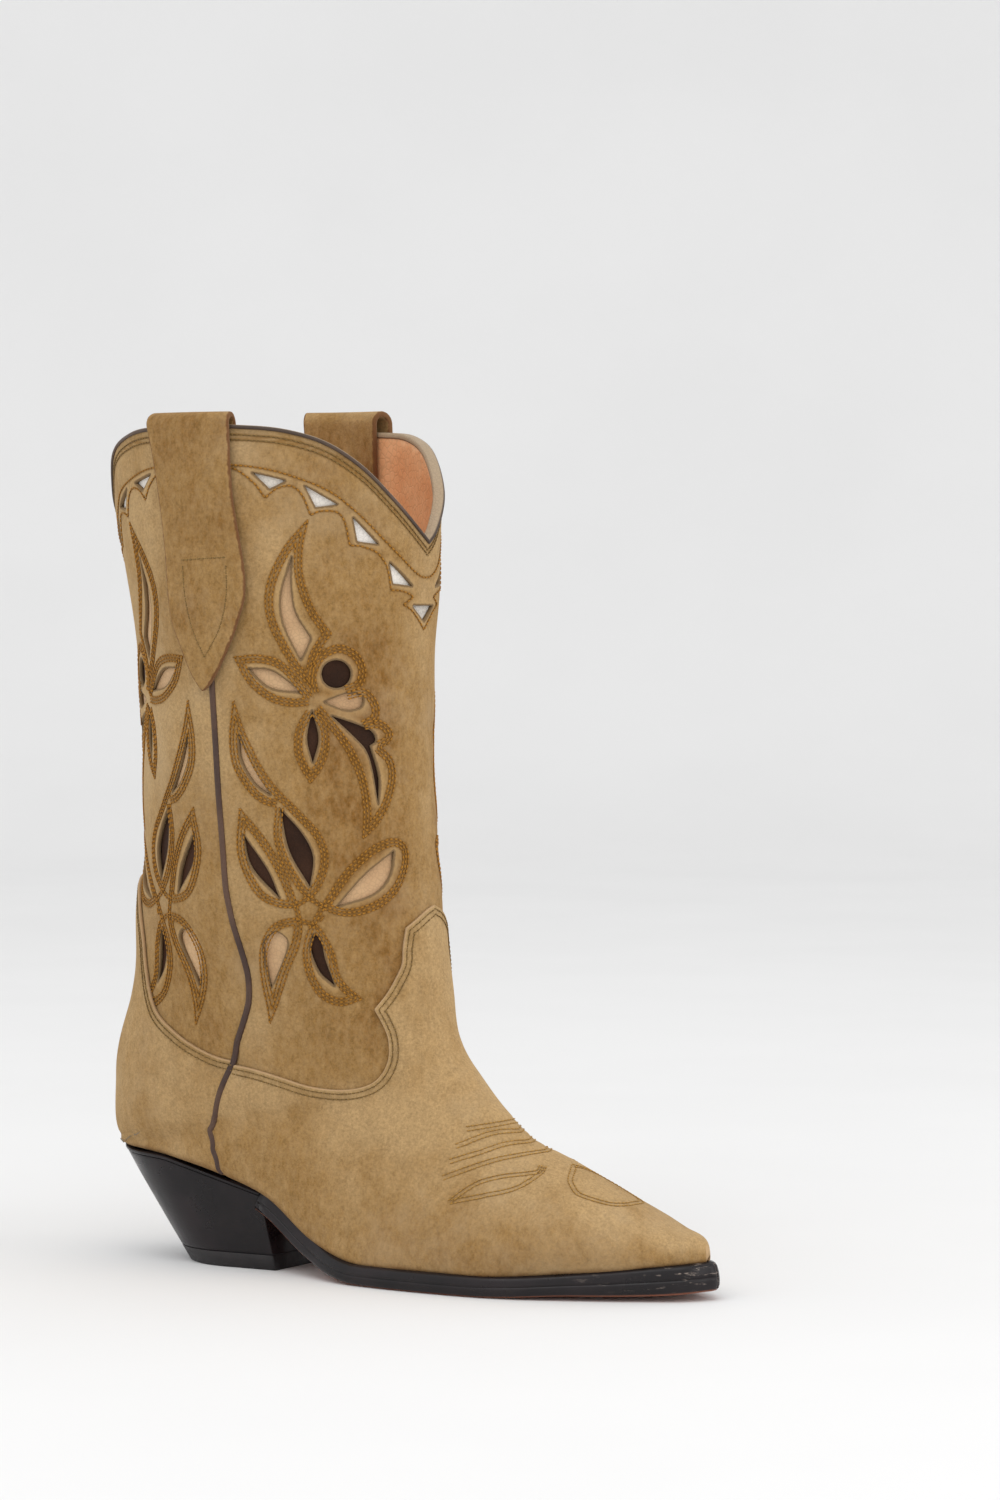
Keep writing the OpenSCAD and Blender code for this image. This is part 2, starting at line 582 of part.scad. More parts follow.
// Half-width of the strip: pointed at its outer end, full from there on
function strap_half(z, outer_leg) =
    let (up = z - (shaft_h - strap_drop))
    !outer_leg ? strap_w / 2
    : strap_w / 2 * ends([[0, 0.06], [6, 0.3], [16, 0.62], [30, 0.92], [40, 1], [60, 0.96], [80, 0.92],
                          [200, 1]], up);
module strap(inner) {
    path = strap_path(inner ? strap_loop : outer_loop);
    mm_per_degree = PI * mouth_depth / 360;
    function place(p, j, extra) =
        let (half = strap_half(p[0], p[2] < 90),
             a = seam(200) + (j / STRAP_COLS * 2 - 1) * half / mm_per_degree,
             z = p[0] + extra * sin(p[2]),
             out = p[1] + extra * cos(p[2]))
        skin(t_at(z), inner ? -a : a, out);
    cols = inner ? [STRAP_COLS:-1:0] : [0:STRAP_COLS];
    sheet([for (p = path) [for (j = cols) place(p, j, strap_t)]],
          [for (p = path) [for (j = cols) place(p, j, 0)]]);
}
module pull_strap_outer() { color("rosybrown") strap(false); }
module pull_strap_inner() { color("rosybrown") strap(true); }

// ---- The bottom, laid along the feather line ----
// The feather line at section t: [x, y of the middle, z, half-width]
function feather(t) = let (k = section(t)) [k[2], swing(t), k[3] - under_t, max(0, k[5])];
// A point of the line's outline, moved outwards by a margin in plan
function rim(t, side, margin) =
    let (p = feather(t), q = feather(min(LAST, t + tiny)), o = feather(max(T_SEAT, t - tiny)),
         d = unit([q[0] - o[0], q[3] - o[3]]),
         n = t <= T_SEAT ? [-1, 0] : t >= LAST ? [1, 0] : [-d[1], d[0]])
    [p[0] + margin * n[0], p[1] + side * max(0.01, p[3] + margin * n[1]), p[2]];
// Distance below the feather line, square to its slope
function below(t, drop) =
    let (q = feather(min(LAST, t + 0.1)), o = feather(max(T_SEAT, t - 0.1)),
         d = unit([q[0] - o[0], q[2] - o[2]]))
    t < T_SEAT + 2 ? [0, 0, -drop] : [d[1] * drop, 0, -d[0] * drop];
function bottom_steps(from, to, n) = [for (i = [0:n]) mix(from, to, i / n)];
// A flat layer that follows the line, from one section to another
module layer(from, to, n, margin, top, bottom) {
    sheet([for (t = bottom_steps(from, to, n)) [for (side = [-1, 0, 1])
              let (p = rim(t, side, margin(t))) p + below(t, top)]],
          [for (t = bottom_steps(from, to, n)) [for (side = [-1, 0, 1])
              let (p = rim(t, side, margin(t))) p + below(t, bottom)]]);
}
breast_x = 5 + heel_l;
// Section number of the heel's breast
BREAST = lookup(breast_x, [for (t = [T_SEAT:0.25:13]) [section(t)[2], t]]);
BOTTOM_STEPS = 32;
inner_margin = lining_back - gap - 0.1;
insole_top = -insole_t - gap;
// Margin of the sole past the upper: slim at the seat and waist, the welt's width in front
function sole_margin(t) = mix(1, welt_w, smooth01((t - 11.2) / 1.8));
module insole() {
    color("tan")
        layer(T_SEAT + 0.35, LAST - 1.3, BOTTOM_STEPS, function (t) inner_margin, insole_top, -gap);
}
module sock_liner() {
    color("sienna")
        layer(T_SEAT + 0.45, LAST - 1.5, BOTTOM_STEPS, function (t) inner_margin - 0.4,
            insole_top - gap - sock_t, insole_top - gap);
}
module outsole() {
    color("sienna") difference() {
        layer(BREAST + 0.02, LAST, BOTTOM_STEPS, function (t) sole_margin(t), welt_t,
            welt_t + outsole_t);
        pegs(peg_d / 2 + gap / 2);
    }
}
// The welt is a strip round the forefoot and waist, open at the heel
module welt() {
    from = BREAST + 0.02;
    n = 26;
    run = concat([for (i = [0:n]) [mix(from, LAST, i / n), -1]],
                 [for (i = [n - 1:-1:0]) [mix(from, LAST, i / n), 1]]);
    inside = -6;
    function corner(p, margin, drop) = rim(p[0], p[1], margin) + below(p[0], drop);
    rings = [for (p = run)
        let (m = sole_margin(p[0]),
             hold = p[0] > LAST - 2 ? mix(inside, -2.5, (p[0] - LAST + 2) / 2) : inside)
        [corner(p, m, gap), corner(p, m, welt_t - gap), corner(p, hold, welt_t - gap), corner(p, hold, gap)]];
    color("black") difference() {
        loft(rings);
        pegs(peg_d / 2 + gap / 2);
    }
}
module cork_filler() {
    color("burlywood") difference() {
        layer(BREAST + 0.02, LAST - 2.4, 24, function (t) -6 - 2 * gap, gap, welt_t - gap);
        shank_shape(gap);
    }
}
shank_t = 1.4;
module shank_shape(room) {
    from = BREAST - 0.5;
    to = 13.2;
    n = 16;
    sheet([for (t = bottom_steps(from, to, n)) [for (side = [-1, 1])
              let (p = feather(t)) [p[0], p[1] + side * (shank_w / 2 + room), p[2]] + below(t, 0.8 - room)]],
          [for (t = bottom_steps(from, to, n)) [for (side = [-1, 1])
              let (p = feather(t)) [p[0], p[1] + side * (shank_w / 2 + room), p[2]]
                  + below(t, 0.8 + shank_t + room)]]);
}
module shank_spring() { color("silver") shank_shape(0); }

// The heel: a curved back, straight sides and a near-upright breast
HEEL_LEVELS = 8;
HEEL_ARC = 10;
// Half-width and back of the heel at a level, from 0 at the ground to 1 at the seat
function heel_half(f) = mix(heel_width / 2 - 9, heel_width / 2 - 3, pow(f, 0.8));
function heel_back(f) = mix(3 + heel_undercut, 3, f);
// The top lift's share of the heel's height, over which the walls carry on sloping
lift_share = top_lift_t / seat_h;
function heel_breast(f) = mix(breast_x + 3, breast_x, f);
// Outline of the heel at a height, as a closed ring
function heel_ring(f, z, grow = 0) =
    let (half = heel_half(f) + grow, back = heel_back(f) - grow, front = heel_breast(f),
         centre = back + half * 1.15)
    concat([[front, -half * 0.94, z(front)]],
        [for (i = [0:HEEL_ARC])
            let (g = -90 + 180 * i / HEEL_ARC, x = centre - half * 1.15 * cos(g))
            [x, half * sin(g), z(x)]],
        [[front, half * 0.94, z(front)]]);
// Height of the feather line over a place under the seat
SEAT_LINE = [for (t = [T_SEAT:0.25:BREAST + 1]) let (p = feather(t)) [p[0], p[2]]];
function seat_line(x) = ends(SEAT_LINE, x);
module heel_body(low, high) {
    loft([for (i = [HEEL_LEVELS:-1:0])
        let (f = i / HEEL_LEVELS)
        heel_ring(mix(lift_share, 1, f), function (x) mix(low(x), high(x), f))]);
}
module heel_block() {
    color("black") difference() {
        heel_body(function (x) top_lift_t + gap, function (x) seat_line(x) - rand_t - gap);
        nails(nail_d / 2 + gap / 2);
        screw(gap / 2);
        shank_shape(gap);
    }
}
module heel_rand() {
    color("dimgray") difference() {
        loft([for (drop = [gap, rand_t])
            heel_ring(1, function (x) seat_line(x) - drop, 0.4)]);
        nails(nail_d / 2 + gap / 2);
        screw(gap / 2);
        shank_shape(gap);
    }
}
module top_lift() {
    color("black") loft([for (z = [top_lift_t, 0]) heel_ring(z / seat_h, function (x) z)]);
}
// Places of the nails, as a share of the heel's length and half-width at the ground
NAIL_PLACES = [[0.16, -0.5], [0.16, 0.5], [0.45, -0.72], [0.45, 0.72], [0.75, -0.72], [0.75, 0.72]];
heel_back_low = 3 + heel_undercut;
nail_low = top_lift_t + 3;
function nail_x(p) = mix(heel_back_low, breast_x, p[0]);
module nails(r) {
    for (p = NAIL_PLACES)
        translate([nail_x(p), p[1] * heel_half(0), nail_low])
            cylinder(r = r, h = seat_line(nail_x(p)) - nail_low - gap, $fn = 24);
}
module heel_nails() { color("silver") nails(nail_d / 2); }
screw_d = 4;
screw_head_t = 2;
screw_x = mix(heel_back_low, breast_x, 0.12);
screw_l = seat_line(screw_x) - nail_low - gap - screw_head_t;
module screw(room) {
    translate([screw_x, 0, nail_low]) {
        cylinder(d = screw_d + 2 * room, h = screw_l, $fn = 32);
        translate([0, 0, screw_l]) cylinder(d = 2 * screw_d + 2 * room, h = screw_head_t, $fn = 32);
    }
}
module heel_screw() { color("silver") screw(0); }

// Pegs hold the waist's sole between the heel and the ball, in one row each side
PEGS_A_SIDE = 8;
peg_l = sole_t - 2 * gap - 0.6;
function peg_place(i, side) =
    let (t = mix(BREAST + 0.25, 12.9, i / (PEGS_A_SIDE - 1)))
    rim(t, side, -3.2) + below(t, gap + 0.3);
module pegs(r) {
    for (i = [0:PEGS_A_SIDE - 1])
        for (side = [-1, 1])
            let (t = mix(BREAST + 0.25, 12.9, i / (PEGS_A_SIDE - 1)), d = below(t, 1))
            translate(peg_place(i, side))
                rotate([0, 180 + atan2(-d[0], -d[2]), 0])
                    cylinder(r = r, h = peg_l, $fn = 20);
}
module shank_pegs() { color("moccasin") pegs(peg_d / 2); }

// ---- The assembly, with its origin under the middle ----
front_x = foot_l + welt_w + 0.6;
back_x = 1;
middle_x = (front_x + back_x) / 2;
translate([-middle_x, 0, 0]) {
    shaft_front_panel();
    shaft_back_panel();
    vamp();
    counter_cover();
    front_inlay_white();
    front_inlay_cream();
    front_inlay_dark();
    back_inlay_white();
    back_inlay_cream();
    back_inlay_dark();
    side_piping_outer();
    side_piping_inner();
    topline_binding();
    pull_strap_outer();
    pull_strap_inner();
    front_lining();
    back_lining();
    vamp_lining();
    heel_lining();
    toe_box();
    heel_counter();
    insole();
    sock_liner();
    cork_filler();
    shank_spring();
    welt();
    outsole();
    heel_rand();
    heel_block();
    top_lift();
    heel_nails();
    heel_screw();
    shank_pegs();
}
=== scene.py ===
"""A suede cowboy boot for the right foot: the looks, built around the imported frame.

Lengths are in millimetres in the makers' frame, where x is 0 at the back of the heel and runs to the toe,
and place() turns them into the row's metres. Every leather piece is a patch of one smooth surface. A place
on it is an angle, which is 0 at the front, 90 at the outer side, 180 at the back or underneath and negative
on the inner side, and a height on the shaft or a section number on the foot.
"""

import math

import bpy
import numpy as np
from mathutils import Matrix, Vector
from mathutils.geometry import delaunay_2d_cdt
from mathutils.kdtree import KDTree


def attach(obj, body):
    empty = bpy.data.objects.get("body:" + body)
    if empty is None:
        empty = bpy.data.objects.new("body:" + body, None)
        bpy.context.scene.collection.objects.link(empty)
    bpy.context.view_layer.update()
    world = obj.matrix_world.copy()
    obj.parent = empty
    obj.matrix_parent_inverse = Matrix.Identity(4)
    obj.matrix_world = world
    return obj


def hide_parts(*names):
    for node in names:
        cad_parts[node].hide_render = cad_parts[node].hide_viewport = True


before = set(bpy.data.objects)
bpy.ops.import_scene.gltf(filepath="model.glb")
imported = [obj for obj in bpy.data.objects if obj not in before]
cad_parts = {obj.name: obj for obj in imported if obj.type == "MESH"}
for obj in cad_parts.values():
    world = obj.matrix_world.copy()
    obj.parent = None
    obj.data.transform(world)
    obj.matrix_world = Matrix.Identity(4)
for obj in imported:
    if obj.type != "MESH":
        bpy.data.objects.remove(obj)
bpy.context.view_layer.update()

MM = 0.001
MIDDLE_X = 133.8
BODY = "root"

# ---- The surface ----
# front x, front z, back x, back z, half-width, half-width underneath, height of the widest point,
# leanness in front, leanness behind, pattern height
SECTIONS = np.array([
    [144, 340.2, -5, 340.2, 56, 0, 0, 0.08, 0.04, 340.2],
    [141.9, 294.2, 1.5, 294.2, 56, 0, 0, 0.08, 0.04, 294.2],
    [138.5, 242.1, 11.5, 242.1, 54.5, 0, 0, 0.07, 0.04, 242.1],
    [138, 192.1, 13.5, 192.1, 51, 0, 0, 0.06, 0.04, 192.1],
    [143, 140, 11, 140, 46, 0, 0, 0.05, 0.03, 140],
    [146.5, 109, 6.5, 103, 39, 0, 0, 0.03, 0, 106],
    [151, 91, 0, 72, 34.5, 0, -0.1, 0.01, -0.06, 86],
    [157.5, 81.5, 3, 47.8, 32, 0, -0.22, 0, -0.07, 72],
    [161, 78, 6.5, 46.8, 31, 12, -0.27, 0, -0.02, 67],
    [164.5, 74.4, 12.5, 45.8, 30.5, 19, -0.33, 0, 0.03, 62],
    [174, 64.4, 40, 43.8, 30.5, 27, -0.45, 0, 0, 50],
    [187, 52.8, 84, 31.3, 30.5, 27.5, -0.5, 0, 0, 35],
    [196, 49.2, 107.5, 15.8, 31.5, 29, -0.52, 0, 0, 26],
    [205, 45.6, 131, 8.85, 35.5, 35, -0.55, 0, 0, 18],
    [221, 37.7, 186, 8.85, 37, 36, -0.6, 0, 0, 6],
    [239, 29.4, 222, 11.3, 25.7, 24.5, -0.6, 0, 0, -6],
    [248.6, 24.8, 242, 13.3, 17, 15.5, -0.6, 0, 0, -14],
    [257.5, 22.3, 255.5, 14.6, 8.5, 8, -0.6, 0, 0, -21],
    [261.5, 19, 261.7, 15.2, 0.6, 0.3, -0.6, 0, 0, -26],
])
LAST = len(SECTIONS) - 1
FRONT_X, FRONT_Z, BACK_X, BACK_Z, HALF, HALF_UNDER, WIDEST, LEAN_FRONT, LEAN_BACK, HEIGHT = range(10)
UNDER = 1.85
SOLE_TOP = 7.0
TOE_SWING = 4.0
T_SEAT = 7
T_SWING = 12
T_FOOT = 10.6

SUEDE = 1.4
GAP = 0.15
INLAY_FACE = -SUEDE - GAP
LINING_FACE = INLAY_FACE - 0.85
LINING_BACK = LINING_FACE - 1.0
COVER_BACK = 2 * GAP
COVER_FACE = COVER_BACK + SUEDE


def smooth01(x):
    s = np.clip(x, 0, 1)
    return s * s * (3 - 2 * s)


def curve(p, q, r, u, s, before=1.0, after=1.0):
    """A smooth curve through four values, at a share s of the way from the second to the third.

    before and after are the lengths of the neighbouring steps, as shares of this one."""
    leave = (before * (r - q) + (q - p) / before) / (1 + before)
    arrive = (after * (r - q) + (u - r) / after) / (1 + after)
    step = r - q
    return q + leave * s + (3 * step - 2 * leave - arrive) * s ** 2 + (leave + arrive - 2 * step) * s ** 3


PADDED = np.vstack([2 * SECTIONS[0] - SECTIONS[1], SECTIONS, 2 * SECTIONS[-1] - SECTIONS[-2]])


def section(t):
    t = np.clip(np.asarray(t, float), 0, LAST - 1e-9)
    i = np.floor(t).astype(int)
    s = (t - i)[..., None]
    gap = PADDED[:-1, HEIGHT] - PADDED[1:, HEIGHT]
    before, after = (gap[i] / gap[i + 1])[..., None], (gap[i + 2] / gap[i + 1])[..., None]
    k = curve(PADDED[i], PADDED[i + 1], PADDED[i + 2], PADDED[i + 3], s, before, after)
    k[..., BACK_Z] = np.maximum(k[..., BACK_Z], SOLE_TOP + UNDER)
    return k


def t_at(z):
    return np.interp(-np.asarray(z, float), -SECTIONS[:, HEIGHT], np.arange(LAST + 1))


def height_at(t):
    return np.interp(t, np.arange(LAST + 1), SECTIONS[:, HEIGHT])


def swing(t):
    return TOE_SWING * smooth01((t - T_SWING) / (LAST - T_SWING))


def on_section(t, a):
    """The point of the surface at a section number and an angle in degrees."""
    k = section(t)
    a = np.asarray(a, float)
    a = np.where(a > 180, a - 360, a)
    side = np.where(a < 0, 1.0, -1.0)
    p = np.radians(np.abs(a))
    front = p <= math.pi / 2
    q = np.where(front, p, p - math.pi / 2)
    trim = 1 - np.where(front, k[..., LEAN_FRONT], k[..., LEAN_BACK]) * np.sin(2 * p) ** 2
    under = np.maximum(0, k[..., HALF_UNDER])
    wide = k[..., WIDEST]
    u = np.where(front, wide + (1 - wide) * np.cos(q) * trim, wide - (1 + wide) * np.sin(q) * trim)
    y = np.where(front, k[..., HALF] * np.sin(q), under + (k[..., HALF] - under) * np.cos(q)) * trim
    f = (u + 1) / 2
    x = k[..., BACK_X] + (k[..., FRONT_X] - k[..., BACK_X]) * f
    z = k[..., BACK_Z] + (k[..., FRONT_Z] - k[..., BACK_Z]) * f
    return np.stack([x, side * y + swing(t), z], -1)


RIPPLE = 0.16


def ripple(p):
    """A slight softness of the leather, the same for every layer."""
    waves = [((0.11, 0.06, 0.09), 0.3), ((-0.05, 0.13, 0.16), 1.7),
             ((0.17, -0.09, 0.05), 4.1), ((0.02, 0.2, -0.12), 2.6)]
    return RIPPLE * sum(np.sin(p @ np.array(k) + phase) for k, phase in waves)


def skin(t, a, out=0.0):
    """Points of the surface moved outwards, and the outward normals there."""
    t, a = np.broadcast_arrays(np.asarray(t, float), np.asarray(a, float))
    step = 0.01
    p = on_section(t, a)
    along = on_section(np.minimum(t + step, LAST), a) - on_section(np.maximum(t - step, 0), a)
    around = on_section(t, a + 0.2) - on_section(t, a - 0.2)
    n = np.cross(around, along)
    n /= np.linalg.norm(n, axis=-1, keepdims=True) + 1e-12
    out = np.asarray(out, float) + ripple(p)
    return p + n * np.broadcast_to(out, p.shape[:-1])[..., None], n


# Flat coordinates for cutting patterns: both are roughly millimetres along the leather
MM_PER_DEGREE = 1.1
RUN_T = np.linspace(0, LAST, 721)
_line = on_section(RUN_T, np.full(RUN_T.shape, 50.0))
RUN = np.concatenate([[0], np.cumsum(np.linalg.norm(np.diff(_line, axis=0), axis=1))])


def to_flat(a, t):
    return np.stack([np.asarray(a, float) * MM_PER_DEGREE, -np.interp(t, RUN_T, RUN)], -1)


def from_flat(p):
    return p[..., 0] / MM_PER_DEGREE, np.interp(-p[..., 1], RUN, RUN_T)


# ---- Curves ----
def smooth_path(points, step=0.06):
    """A smooth curve through points, with about 1 / step points between two of them."""
    q = np.array(points, float)
    if len(q) == 2:
        s = np.linspace(0, 1, 9)[:, None]
        return q[0] * (1 - s) + q[1] * s
    q = np.vstack([2 * q[0] - q[1], q, 2 * q[-1] - q[-2]])
    s = np.arange(0, 1, step)[:, None]
    runs = [curve(q[i], q[i + 1], q[i + 2], q[i + 3], s) for i in range(len(q) - 3)]
    return np.vstack(runs + [q[-2:-1]])


def corners(*sides):
    """One line made of smooth sides that meet in corners."""
    runs = [smooth_path(side) for side in sides]
    return np.vstack([r[:-1] for r in runs[:-1]] + [runs[-1]])


def resample(points, step):
    d = np.concatenate([[0], np.cumsum(np.linalg.norm(np.diff(points, axis=0), axis=1))])
    n = max(2, int(round(d[-1] / step)) + 1)
    s = np.linspace(0, d[-1], n)
    return np.stack([np.interp(s, d, points[:, i]) for i in range(points.shape[1])], -1)


def placed(points, inner, back):
    """The same line on the inner side or on the back panel."""
    p = np.array(points, float)
    side = -1 if inner else 1
    p[:, 0] = 180 - side * p[:, 0] if back else side * p[:, 0]
    return p


# ---- The pattern, as angle and height on the outer front quarter ----
WHITE_WINDOWS = [
    [[(70, 309), (59, 306)], [(59, 306), (64.5, 303)], [(64.5, 303), (70, 309)]],
    [[(52, 304), (40, 297)], [(40, 297), (48, 296)], [(48, 296), (52, 304)]],
    [[(34, 292), (24, 282)], [(24, 282), (32, 283)], [(32, 283), (34, 292)]],
    [[(19, 275), (8, 266)], [(8, 266), (17, 267)], [(17, 267), (19, 275)]],
]
CENTRE_WINDOW = [[(-7, 258.5), (7, 258.5)], [(7, 258.5), (0, 252.5)], [(0, 252.5), (-7, 258.5)]]
CREAM_WINDOWS = [
    [[(57, 277), (61, 262), (60, 251), (54, 238)], [(54, 238), (50, 246)],
     [(50, 246), (56, 256), (57.5, 267), (57, 277)]],
    [[(74, 234.5), (65, 233.5), (54, 225.5)], [(54, 225.5), (66, 227.5), (74, 234.5)]],
    [[(45, 222), (36, 225), (30.5, 224.5), (29, 222), (31, 219.5), (37, 219), (45, 222)]],
    [[(78.5, 209), (78, 200), (73.5, 191), (68, 186.5)], [(68, 186.5), (74, 197), (78.5, 209)]],
    [[(46, 144), (33, 156), (19, 165)], [(19, 165), (22, 156), (30, 149), (46, 144)]],
    [[(76, 111), (77, 122), (76, 129), (72, 133), (68.5, 132), (68, 127), (76, 111)]],
]
DOT_CENTRE = (40, 232.5)
DOT_RADIUS = (6, 5.3)
DARK_WINDOWS = [
    [[(DOT_CENTRE[0] + DOT_RADIUS[0] * math.cos(q), DOT_CENTRE[1] + DOT_RADIUS[1] * math.sin(q))
      for q in np.linspace(0, 2 * math.pi, 13)]],
    [[(50, 218.5), (52.3, 208), (50.5, 198.5)], [(50.5, 198.5), (47.7, 208), (50, 218.5)]],
    [[(42, 216.5), (33, 208.5), (28, 203), (25.5, 195), (24, 183)], [(24, 183), (23, 193), (26.5, 205)],
     [(26.5, 205), (24, 207), (25.5, 210.5), (31, 213), (42, 216.5)]],
    [[(79.5, 171), (77.5, 159), (68, 147)], [(68, 147), (71.5, 158), (79.5, 171)]],
    [[(64.5, 181), (62.5, 165), (56, 151.5)], [(56, 151.5), (53.5, 163), (57, 172), (64.5, 181)]],
    [[(52, 111.5), (57, 117), (59, 126), (57, 132.5), (54.5, 130), (54, 122), (52, 111.5)]],
]
# Outer row of each triple outline. The leaf is always on the right of the way the line runs.
TRIPLE_ROWS = [
    corners([(51, 228), (59, 238), (66, 253), (66, 266), (60, 280), (51, 291)],
            [(51, 291), (53, 281), (53, 270), (49, 258), (42, 248)], [(42, 248), (48, 239), (50, 228)]),
    smooth_path([(50, 225), (51, 232), (47, 240), (39, 243.5), (31.5, 240.5), (28, 234), (30, 228),
                 (36, 225.5)]),
    smooth_path([(36, 225.5), (28, 226.5), (23, 221), (23.5, 215), (29, 212)]),
    corners([(29, 214), (22, 214.5), (17, 210.5), (18, 206.5), (22, 204.5)],
            [(22, 204.5), (17, 200), (15.5, 193), (18.5, 184), (24.5, 176), (32, 170)],
            [(32, 170), (30.5, 181), (32, 193), (37, 204), (43, 212), (49, 219)]),
    corners([(48, 219), (44, 212), (44, 204), (47, 197), (52, 191)],
            [(52, 191), (57, 201), (56.5, 211), (52, 219)]),
    corners([(51, 221), (58, 220.5), (66, 222.5), (74, 229), (79, 239)],
            [(79, 239), (69, 239.5), (60, 236), (50, 224)]),
    corners([(66, 182), (71, 183.5), (76, 188), (81, 197), (82, 208), (80, 222)],
            [(80, 222), (75.5, 208), (68, 192.5), (58, 181), (50, 172), (47.5, 163), (51, 153), (58, 146),
             (66, 143.5), (76, 148), (82, 163.5), (80, 181)],
            [(80, 181), (72, 170.5), (66, 159), (62.5, 148), (61, 138), (63, 129), (70, 115), (76, 98.6)],
            [(76, 98.6), (79, 113), (78, 126), (72.5, 135.5), (64, 139), (55, 136), (50.5, 126), (49, 114),
             (42, 106)],
            [(42, 106), (51, 104), (58.5, 108), (62, 117), (61.5, 127), (57, 137), (50, 147), (40, 158.5),
             (28, 167), (18, 169.5), (12.5, 166), (13.5, 158), (20, 149), (31, 142.5), (44, 140.5), (56, 146),
             (63.5, 156), (67.5, 169), (66, 182)]),
]
ROW_GAP = 1.25
# Depths of the two rows below the topline
RIM_ROWS = (3.1, 5.0)
UPPER_LINE = smooth_path([(90, 313), (76, 312), (66, 310.5), (56, 307.5), (43, 302), (32, 293.5), (21, 283),
                          (10, 273.5), (4, 270), (0, 269.3)])
SCALLOPS = corners([(90, 313.5), (83, 312), (76, 310.5), (70, 305.5), (66, 299.5)],
                   [(66, 299.5), (62, 303), (57, 304), (53, 300.5), (50, 293)],
                   [(50, 293), (46, 294.5), (40, 294), (37, 290), (35, 281.5)],
                   [(35, 281.5), (30, 281), (24, 278.5), (20, 273), (18, 264.5)],
                   [(18, 264.5), (14, 264.3), (10, 263.3), (7, 261.8)],
                   [(7, 261.8), (12, 258.9)], [(12, 258.9), (8, 257), (4, 253.5), (0, 249.3)])

# ---- Edges ----
SHAFT_H = 327.0
TOPLINE_DIP = 44.0
TOPLINE = np.array([[0, 1], [5, 0.92], [10, 0.82], [20, 0.6], [32, 0.34], [45, 0.15], [60, 0.045],
                    [75, 0.01], [90, 0]])
SEAM = np.array([[42, 140], [50, 104], [62, 99], [72, 93], [81, 88], [94, 86], [106, 84], [115, 84],
                 [135, 86.5], [150, 88], [400, 88]])
VAMP_EDGE = corners([(0, 143.5), (7, 141), (18, 135)],
                    [(18, 135), (20.5, 127), (22, 120), (26, 114), (31, 108), (37.5, 102)],
                    [(37.5, 102), (35, 96), (34, 90), (36, 82), (40.5, 75.5), (46, 72), (53, 71.7), (61, 75),
                     (70, 80), (78, 83.5), (86, 86)])
COUNTER_EDGE = smooth_path([(86, 87), (96, 90), (112, 96.5), (128, 104.5), (138, 117), (144, 132), (152, 144),
                            (165, 150.5), (180, 152)])
# How far the shaft panels run on under the vamp and the counter cover
LAP = 9.0


def mirrored(line):
    """A line from the centre outwards, with its mirror image before it."""
    return np.vstack([(line * [-1, 1])[:0:-1], line])


def other_side(line, back=True):
    """A line's mirror image on the inner side, across the back centre or the front centre."""
    return line * [-1, 1] + ([360, 0] if back else [0, 0])


def side_name(inner):
    return "inner" if inner else "outer"


def side_angle(a):
    a = np.abs(a)
    return np.where(a > 90, np.abs(180 - a), a)


_tops = smooth_path(TOPLINE, 0.1)


def topline(a):
    return SHAFT_H - TOPLINE_DIP * np.interp(side_angle(a), _tops[:, 0], _tops[:, 1])


SEAM_FOOT = np.array([[5.9, 85.6], [6.38, 88.3], [6.6, 89.3], [8.4, 91], [9.1, 92.7], [9.4, 96.3],
                      [9.6, 100.6], [9.9, 108.8], [10.1, 118.4], [10.3, 130.3], [10.44, 143.6],
                      [T_FOOT, 180]])
# Points in each of the two averages that smooth the seam
SEAM_SOFTNESS = 9


def seam_run(step=0.5):
    """The side seam from the topline to the sole, as angle and section number."""
    z = np.arange(SHAFT_H - 1.0, 90, -2.0)
    upper = np.stack([np.interp(z, SEAM[:, 0], SEAM[:, 1]), t_at(z)], -1)
    lower = SEAM_FOOT[:, ::-1]
    even = resample_angle(np.vstack([upper, lower]), step)
    for _ in range(2):
        soft = np.ones(SEAM_SOFTNESS) / SEAM_SOFTNESS
        wide = SEAM_SOFTNESS // 2
        padded = np.vstack([2 * even[0] - even[wide:0:-1], even, 2 * even[-1] - even[-2:-wide - 2:-1]])
        even = np.stack([np.convolve(padded[:, i], soft, "valid") for i in range(2)], -1)
    return even


def resample_angle(path, step):
    """Even steps in millimetres along a path of angles and section numbers."""
    p = on_section(path[:, 1], path[:, 0])
    d = np.concatenate([[0], np.cumsum(np.linalg.norm(np.diff(p, axis=0), axis=1))])
    s = np.linspace(0, d[-1], max(2, int(d[-1] / step) + 1))
    return np.stack([np.interp(s, d, path[:, 0]), np.interp(s, d, path[:, 1])], -1)


SEAM_PATH = seam_run()


def seam_between(top_z, t_end):
    t = SEAM_PATH[:, 1]
    return SEAM_PATH[(t >= t_at(top_z)) & (t <= t_end)]


# ---- Meshes ----
def place(points):
    """Makers' millimetres to the row's metres."""
    p = np.array(points, float)
    p[..., 0] -= MIDDLE_X
    return p * MM


